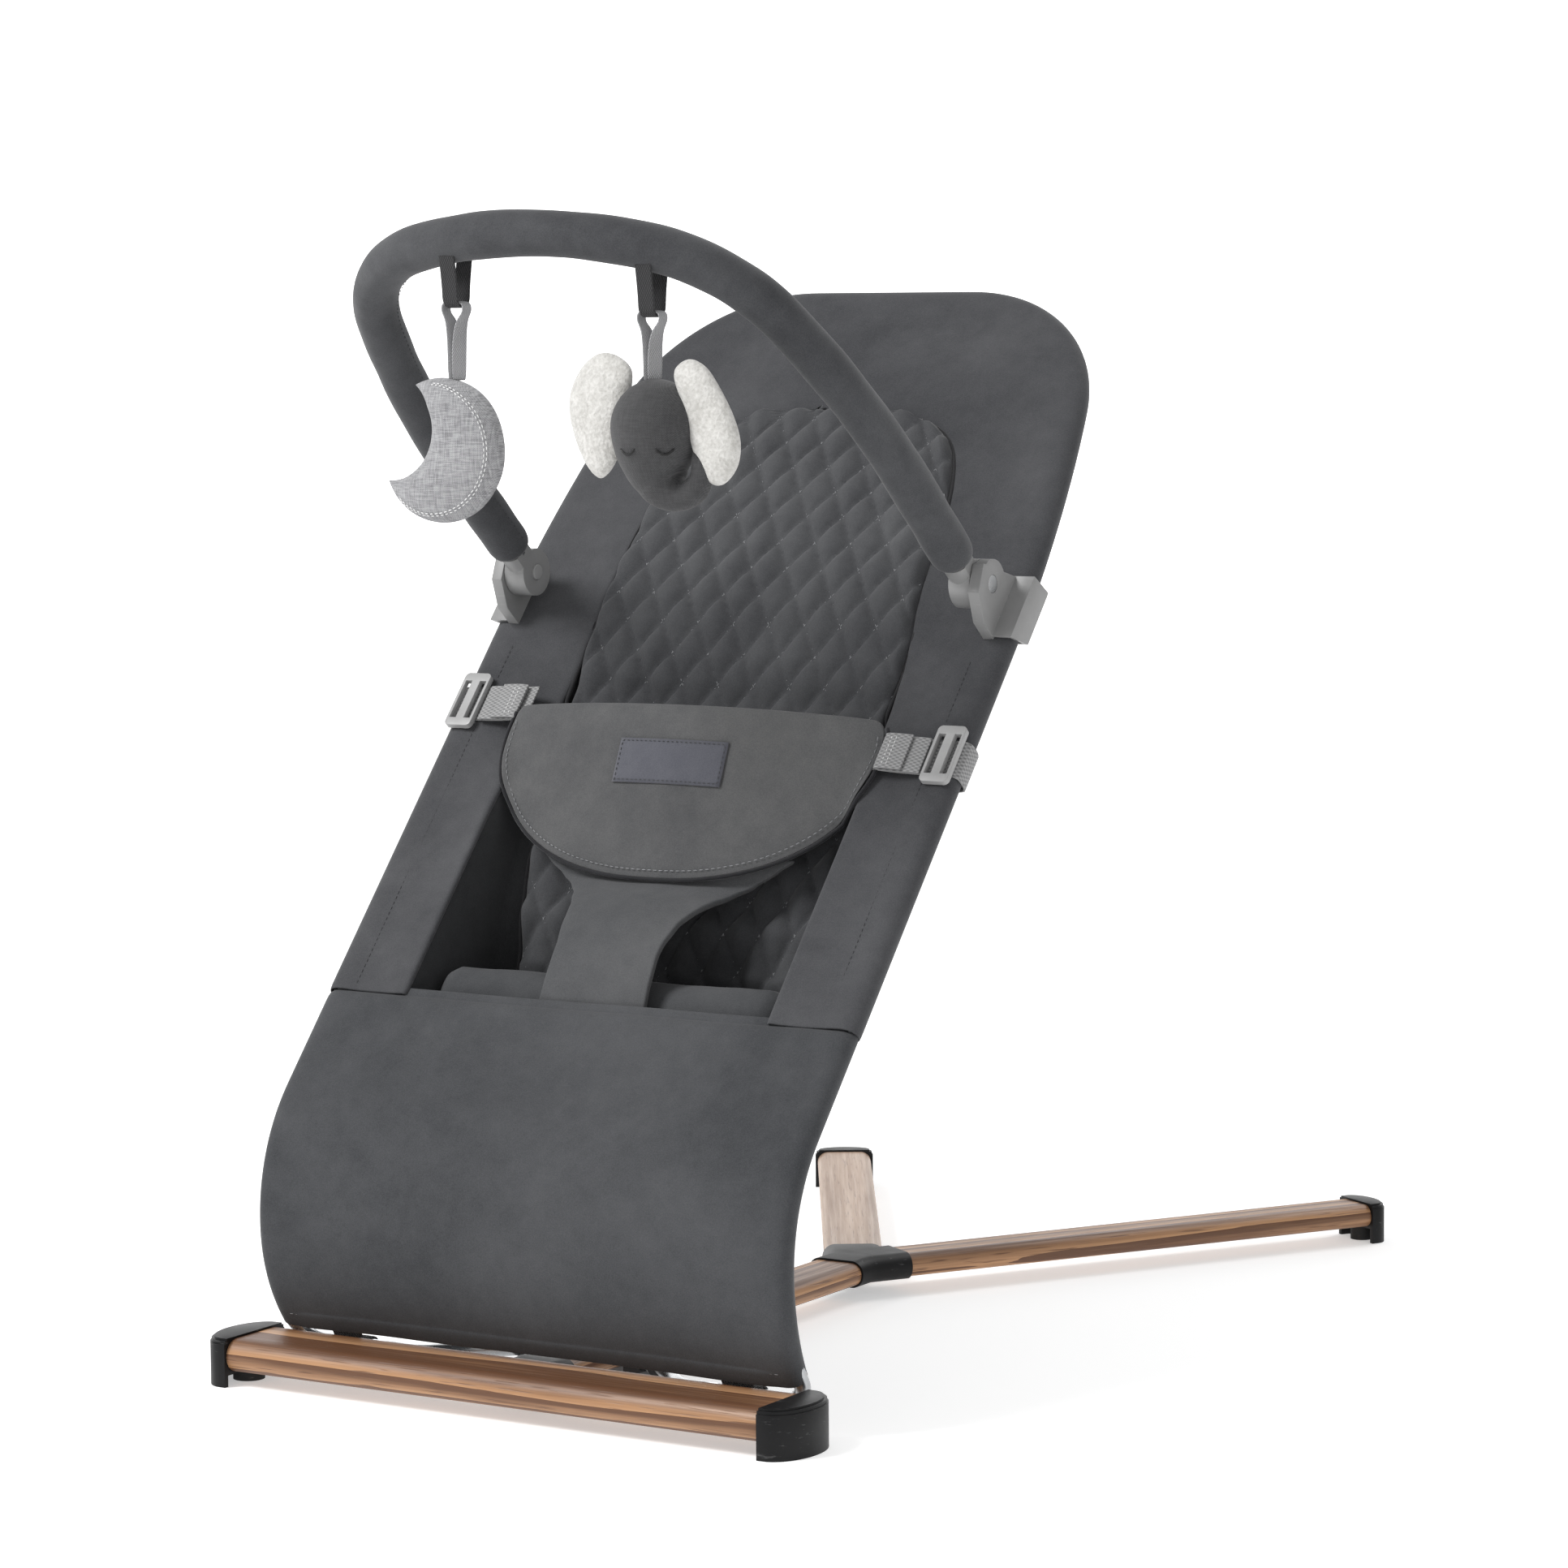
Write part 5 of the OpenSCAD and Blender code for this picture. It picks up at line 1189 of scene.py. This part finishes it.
half_bar = [(bar_x, 0.021 + 0.004 * k) for k in range(18)]
for k in range(13):
    a = flank_turn * k / 12
    half_bar.append((bar_x - flank_radius * (1 - math.cos(a)), bar_straight + flank_radius * math.sin(a)))
flank_y = half_bar[-1][1]
for k in range(1, 19):
    a = flank_turn + (math.pi / 2 - crown_turn - flank_turn) * k / 18
    half_bar.append(((crown_radius - bend_radius) * math.sin(crown_turn) + bend_radius * math.cos(a),
                     flank_y + bend_radius * (math.sin(a) - math.sin(flank_turn))))
bend_y_end = half_bar[-1][1]
for k in range(1, 13):
    a = crown_turn * (1 - k / 12)
    half_bar.append((crown_radius * math.sin(a), bend_y_end + crown_radius * (math.cos(a) - math.cos(crown_turn))))
bar_line = half_bar + [(-x, y) for x, y in half_bar[-2::-1]]
bar_reach = half_bar[-1][1]
bar_path = [on_arch(x, y) for x, y in bar_line]
fine_path = []
for a, b in zip(bar_path, bar_path[1:]):
    steps = max(1, round((b - a).length / 0.003))
    fine_path += [a.lerp(b, k / steps) for k in range(steps)]
fine_path.append(bar_path[-1])
travel = [0.0]
for a, b in zip(fine_path, fine_path[1:]):
    travel.append(travel[-1] + (b - a).length)
sleeve_rings = []
for spot, gone in zip(fine_path, travel):
    from_end = min(gone, travel[-1] - gone)
    gather = 1 - 0.16 * max(0, 1 - from_end / 0.008) ** 1.6
    sleeve_rings.append(0.0128 * gather + ripple(spot, 42, 0.00055))
sleeve = swept("toy_bar_padding", fine_path, sleeve_rings, sleeve_cloth, 28)
settled(sleeve, ("SUBSURF", {"levels": 1, "render_levels": 1}))
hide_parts("toy_bar_sleeve")
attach(sleeve, "toy_bar")
inner_seam = []
for i, spot in enumerate(fine_path[3:-3], 3):
    along = (fine_path[i + 1] - fine_path[i - 1]).normalized()
    plane_out = Vector((0, -math.sin(arch_lean), math.cos(arch_lean)))
    inward = along.cross(plane_out).normalized()
    if inward.dot(on_arch(0, 0.12) - spot) < 0:
        inward = -inward
    inner_seam.append(spot + inward * 0.01305)
stitched("sleeve_inner_seam", [inner_seam], dark_thread, "toy_bar", 0.0036, 0.0026, 0.00026)
dress("toy_bar_tube", bright_steel)


# ---------------------------------------------------------------------------
# Hanging loops and toy straps. A black woven band is sewn under the bar for
# each toy; a narrow linen tape makes a ring through it and runs down to the toy.
# ---------------------------------------------------------------------------
black_band = tape("black band", (0.028, 0.028, 0.030, 1), (0.008, 0.008, 0.009, 1), 700.0)
linen_tape = tape("linen tape", (0.42, 0.42, 0.43, 1), (0.20, 0.20, 0.208, 1), 900.0, 0.8)


loop_drop, band_width, band_thick, band_turn = 0.031, 0.010, 0.0012, 0.0056
tape_width, tape_thick, tape_tuck = 0.0084, 0.0011, 0.0155


def hung_from(x):
    """The bar's middle at x, and the bottom of the loop that hangs from it there."""
    fall = crown_radius - math.sqrt(crown_radius ** 2 - x * x)
    spot = on_arch(x, bar_reach - fall)
    return spot, spot - Vector((0, 0, loop_drop))


hang_spots = {}
for toy_name, toy_x, tail in (("moon", -0.044, 0.0308), ("elephant", 0.078, 0.0256)):
    centre, hang = hung_from(toy_x)
    hang_spots[toy_name] = hang
    low_back = [hang + Vector((0, band_turn * math.sin(a), -band_turn * math.cos(a)))
                for a in (math.radians(90 - 180 * k / 12) for k in range(13))]
    band_path = [centre + Vector((0, 0.0085, -0.0075)), centre + Vector((0, 0.0082, -0.0110)),
                 hang + Vector((0, 0.0068, 0.012)), hang + Vector((0, 0.0058, 0.004))] + low_back
    band_path += [hang + Vector((0, -0.0058, 0.004)), hang + Vector((0, -0.0068, 0.012)),
                  centre + Vector((0, -0.0082, -0.0110)), centre + Vector((0, -0.0085, -0.0075))]
    band = strap(toy_name + "_band", band_path, band_width, band_thick, black_band, Vector((1, 0, 0)))
    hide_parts(toy_name + "_loop")
    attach(band, "toy_bar")

    corner = [(0.0016, -0.0125), (0.0058, -0.0068), (0.0070, -0.0045), (0.0068, -0.0012), (0.0050, 0.0),
              (0.0, 0.0002), (-0.0050, 0.0), (-0.0068, -0.0012), (-0.0070, -0.0045), (-0.0058, -0.0068),
              (-0.0016, -0.0125)]
    ring_path = [hang + Vector((0.0012, 0, -tape_tuck - tail))]
    ring_path += [hang + Vector((x, 0, z - 0.0030)) for x, z in corner]
    ring_path.append(hang + Vector((-0.0012, 0, -tape_tuck - tail)))
    ring_rows = []
    for spot in ring_path:
        low = min(1, max(0, (hang.z - 0.010 - spot.z) / 0.010))
        across = Vector((0.85 * low, 1 - 0.48 * low, 0)).normalized()
        ring_rows.append([spot + across * (tape_width * (k / 6 - 0.5)) for k in range(7)])
    ring = lofted(toy_name + "_tape", ring_rows, linen_tape)
    settled(ring, ("SOLIDIFY", {"thickness": tape_thick, "offset": 0.0}),
            ("SUBSURF", {"levels": 2, "render_levels": 2}))
    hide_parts(toy_name + "_strap")
    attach(ring, toy_name)


# ---------------------------------------------------------------------------
# Moon. A stuffed crescent cut from two pieces of heather linen, sewn right
# side out with two rows of white stitching just inside its edge.
# ---------------------------------------------------------------------------
linen, linen_in, linen_out = new_group(
    "heather linen",
    [("Vector", "NodeSocketVector", None), ("Light", "NodeSocketColor", (0.6, 0.6, 0.6, 1)),
     ("Dark", "NodeSocketColor", (0.3, 0.3, 0.3, 1)), ("Threads", "NodeSocketFloat", 1000.0)],
    [("Color", "NodeSocketColor"), ("Roughness", "NodeSocketFloat"), ("Height", "NodeSocketFloat")],
)
cloth_place = add(linen, "ShaderNodeSeparateXYZ", None, Vector=linen_in.outputs["Vector"])
turns = reckon(linen, "MULTIPLY", linen_in.outputs["Threads"], 6.2832)
warp = reckon(linen, "SINE", reckon(linen, "MULTIPLY", cloth_place.outputs["X"], turns), 0.0)
weft = reckon(linen, "SINE", reckon(linen, "MULTIPLY", cloth_place.outputs["Z"], turns), 0.0)
crossing = remap(linen, reckon(linen, "MULTIPLY", warp, weft), -1.0, 1.0)
slub_across = noisy(linen, stretched(linen, linen_in.outputs["Vector"], (160.0, 160.0, 1900.0)), 1.0, 2.0)
slub_up = noisy(linen, stretched(linen, linen_in.outputs["Vector"], (1900.0, 160.0, 160.0)), 1.0, 2.0)
heather = remap(linen, reckon(linen, "ADD", reckon(linen, "ADD", slub_across, slub_up),
                              reckon(linen, "MULTIPLY", crossing, 0.35)), 0.85, 1.5)
linen.links.new(blended(linen, heather, linen_in.outputs["Dark"], linen_in.outputs["Light"]),
                linen_out.inputs["Color"])
linen.links.new(remap(linen, crossing, 0.0, 1.0, 0.92, 0.8), linen_out.inputs["Roughness"])
linen.links.new(crossing, linen_out.inputs["Height"])


def woven_cloth(name, light, dark, threads, strength=0.5):
    finish, tree, shader = plain_finish(name)
    cloth = placed_group(tree, linen, object_place(tree), Light=light, Dark=dark, Threads=threads)
    surface(tree, shader, cloth, strength, 0.0004)
    shader.inputs["Sheen Weight"].default_value = 0.12
    return finish


moon_linen = woven_cloth("moon linen", (0.42, 0.42, 0.43, 1), (0.17, 0.17, 0.178, 1), 1000.0)
moon_aside, moon_drop, moon_plump = -0.010, -0.083, 0.0112
moon_middle = hang_spots["moon"] + Vector((moon_aside, 0, moon_drop))
moon_radius, bite_radius, bite = 0.0395, 0.0290, Vector((-0.0350, 0.0125))
apart = bite.length
lens = math.acos((apart ** 2 + moon_radius ** 2 - bite_radius ** 2) / (2 * apart * moon_radius))
lens_in = math.acos((apart ** 2 + bite_radius ** 2 - moon_radius ** 2) / (2 * apart * bite_radius))
bite_way = math.atan2(bite.y, bite.x)
outside, inside = [], []
for k in range(61):
    a = bite_way + lens + (2 * math.pi - 2 * lens) * k / 60
    outside.append(Vector((moon_radius * math.cos(a), moon_radius * math.sin(a))))
    b = bite_way + math.pi + lens_in - 2 * lens_in * k / 60
    inside.append(bite + Vector((bite_radius * math.cos(b), bite_radius * math.sin(b))))
inside.reverse()
if (inside[0] - outside[0]).length > (inside[-1] - outside[0]).length:
    inside.reverse()
moon_points, moon_faces, moon_sides = [], [], 24
for k, (far, near) in enumerate(zip(outside, inside)):
    centre = (far + near) / 2
    reach = (far - near) / 2
    plump = min(moon_plump, 0.0012 + 0.62 * reach.length)
    for j in range(moon_sides):
        a = 2 * math.pi * j / moon_sides
        shape = math.copysign(abs(math.cos(a)) ** 0.72, math.cos(a))
        rise = math.copysign(abs(math.sin(a)) ** 1.05, math.sin(a))
        spot = centre + reach * shape
        moon_points.append(moon_middle + Vector((spot.x, rise * plump + ripple((spot.x, spot.y, rise), 60, 0.0005),
                                                 spot.y)))
for k in range(60):
    for j in range(moon_sides):
        a, b = k * moon_sides + j, k * moon_sides + (j + 1) % moon_sides
        moon_faces.append((a, b, b + moon_sides, a + moon_sides))
moon_faces += [tuple(range(moon_sides - 1, -1, -1)), tuple(60 * moon_sides + j for j in range(moon_sides))]
moon = new_piece("moon_stuffed", moon_points, moon_faces, moon_linen, None)
settled(moon, ("SUBSURF", {"levels": 1, "render_levels": 1}))
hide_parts("moon_toy")
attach(moon, "moon")
moon_lines = []
for inset in (0.0052, 0.0066):
    for front in (-1, 1):
        line = []
        for far, near in zip(outside[5:-5], inside[5:-5]):
            reach = (far - near) / 2
            if reach.length < 0.008:
                continue
            centre = (far + near) / 2
            part = 1 - inset / reach.length
            angle = math.acos(min(1, max(0, part)) ** (1 / 0.72))
            plump = min(moon_plump, 0.0012 + 0.62 * reach.length)
            spot = centre + reach * part
            rise = abs(math.sin(angle)) ** 1.05 * plump + 0.0003
            line.append(moon_middle + Vector((spot.x, front * rise, spot.y)))
        moon_lines.append(line)
stitched("moon_stitches", moon_lines, white_thread, "moon", 0.0030, 0.0022, 0.00034)


# ---------------------------------------------------------------------------
# Elephant. A dark linen head and trunk stuffed as one bag, with embroidered
# sleeping eyes and two off-white plush ears sewn into its side seams.
# ---------------------------------------------------------------------------
toy_linen = woven_cloth("elephant linen", (0.062, 0.062, 0.064, 1), (0.034, 0.034, 0.036, 1), 1000.0)
plush, plush_tree, plush_shader = plain_finish("ear plush")
curl, curl_in, curl_out = new_group(
    "plush pile",
    [("Vector", "NodeSocketVector", None)],
    [("Color", "NodeSocketColor"), ("Roughness", "NodeSocketFloat"), ("Height", "NodeSocketFloat")],
)
tufts = noisy(curl, curl_in.outputs["Vector"], 520.0, 3.0, 0.6)
clumps = noisy(curl, curl_in.outputs["Vector"], 130.0, 2.0, 0.5)
pile = reckon(curl, "ADD", reckon(curl, "MULTIPLY", tufts, 0.65), reckon(curl, "MULTIPLY", clumps, 0.35))
curl.links.new(blended(curl, remap(curl, pile, 0.35, 0.65), (0.46, 0.45, 0.425, 1), (0.66, 0.65, 0.625, 1)),
               curl_out.inputs["Color"])
curl.links.new(remap(curl, pile, 0.3, 0.7, 1.0, 0.9), curl_out.inputs["Roughness"])
curl.links.new(pile, curl_out.inputs["Height"])
surface(plush_tree, plush_shader, placed_group(plush_tree, curl, object_place(plush_tree)), 0.8, 0.0016)
plush_shader.inputs["Sheen Weight"].default_value = 0.35

head_aside, head_drop = 0.002, -0.0384
crown = hang_spots["elephant"] + Vector((head_aside, 0, head_drop))
bag = [(0, 0, 0.0012), (0, -0.0006, 0.005), (0, -0.002, 0.010), (0, -0.006, 0.017), (0, -0.013, 0.023),
       (0, -0.022, 0.0263), (0, -0.031, 0.0261), (0.0005, -0.041, 0.0233), (0.002, -0.050, 0.0183),
       (0.006, -0.0575, 0.013), (0.0115, -0.0610, 0.0096), (0.0175, -0.0615, 0.008), (0.0238, -0.0583, 0.0075),
       (0.0280, -0.0520, 0.007), (0.0283, -0.0450, 0.0062), (0.0255, -0.0408, 0.0050), (0.0232, -0.0400, 0.0020)]
bag_spots = []
for i in range(len(bag) - 1):
    p0, p1, p2, p3 = (Vector(bag[min(max(i + j, 0), len(bag) - 1)]) for j in (-1, 0, 1, 2))
    for step in range(5):
        t = step / 5
        bag_spots.append(0.5 * (2 * p1 + (p2 - p0) * t + (2 * p0 - 5 * p1 + 4 * p2 - p3) * t * t
                                + (3 * p1 - p0 - 3 * p2 + p3) * t ** 3))
bag_spots.append(Vector(bag[-1]))
bag_path = [crown + Vector((spot.x, 0, spot.y)) for spot in bag_spots]
head_slim, head_foot = 0.93, -0.056
bag_rings = [max(0.0008, spot.z * (head_slim if spot.y > head_foot else 1.0)) + ripple(place, 55, 0.0004)
             for spot, place in zip(bag_spots, bag_path)]
head = swept("elephant_body", bag_path, bag_rings, toy_linen, 32)
settled(head, ("SUBSURF", {"levels": 1, "render_levels": 1}))
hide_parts("elephant_head")
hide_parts("elephant_trunk")
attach(head, "elephant")

eye_thread = thread("eye embroidery", (0.006, 0.006, 0.006, 1))
for eye_name, eye_turn in (("left", math.radians(-10)), ("right", math.radians(44))):
    lid = []
    for k in range(13):
        t = k / 6 - 1
        a = eye_turn + t * math.radians(12.5)
        drop = -0.0365 - 0.0030 * (1 - t * t)
        radius = between([(-0.041, 0.0217), (-0.031, 0.0243)], drop) + 0.0007
        lid.append(crown + Vector((radius * math.sin(a), -radius * math.cos(a), drop)))
    line = swept("elephant_eye_" + eye_name, lid, [0.0003] + [0.00055] * 11 + [0.0003], eye_thread, 8)
    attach(line, "elephant")

ear_outlines = {
    "left": [(-15, 6), (-24, 13), (-36, 14), (-47, 7), (-55, -6), (-56, -20), (-51, -36), (-44, -48), (-36, -54),
             (-28, -48), (-22, -36), (-18, -20), (-15, -5)],
    "right": [(12, 5), (21, 11), (31, 7), (40, -5), (48, -20), (52, -34), (50, -47), (42, -56), (33, -55),
              (25, -42), (20, -26), (15, -8)],
}
ear_swell = 0.0062
for side_name in ("left", "right"):
    ring = smooth_ring([(x / 1000, z / 1000) for x, z in ear_outlines[side_name]], 90)
    middle = sum(ring, Vector((0, 0))) / len(ring)

    def ear_place(x, y, z):
        inner = max(0.0, abs(x) - 0.022)
        return crown + Vector((x, -z - 0.0006 + 0.05 * inner, y))

    ear = pillow("elephant_ear_pad_" + side_name, ring, ear_swell, ear_swell, ear_place, plush, middle, 9, 0.0008)
    settled(ear, ("SUBSURF", {"levels": 1, "render_levels": 1}))
    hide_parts("elephant_ear_" + side_name)
    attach(ear, "elephant")


# ---------------------------------------------------------------------------
# End caps and joints. Satin black mouldings with softened edges close the
# bars' ends and hold the bars together; the recline block rides on the beam.
# ---------------------------------------------------------------------------
satin_black = moulded("satin black", (0.0050, 0.0050, 0.0056, 1), 0.46, 2600.0, 0.16)
satin_black.node_tree.nodes["Principled BSDF"].inputs["Specular IOR Level"].default_value = 0.24
for part in ("front_foot_left", "front_foot_right", "rear_foot_left", "rear_foot_right", "front_joint", "rear_joint"):
    softened(part, part + "_moulding", "base", satin_black, 0.0011)
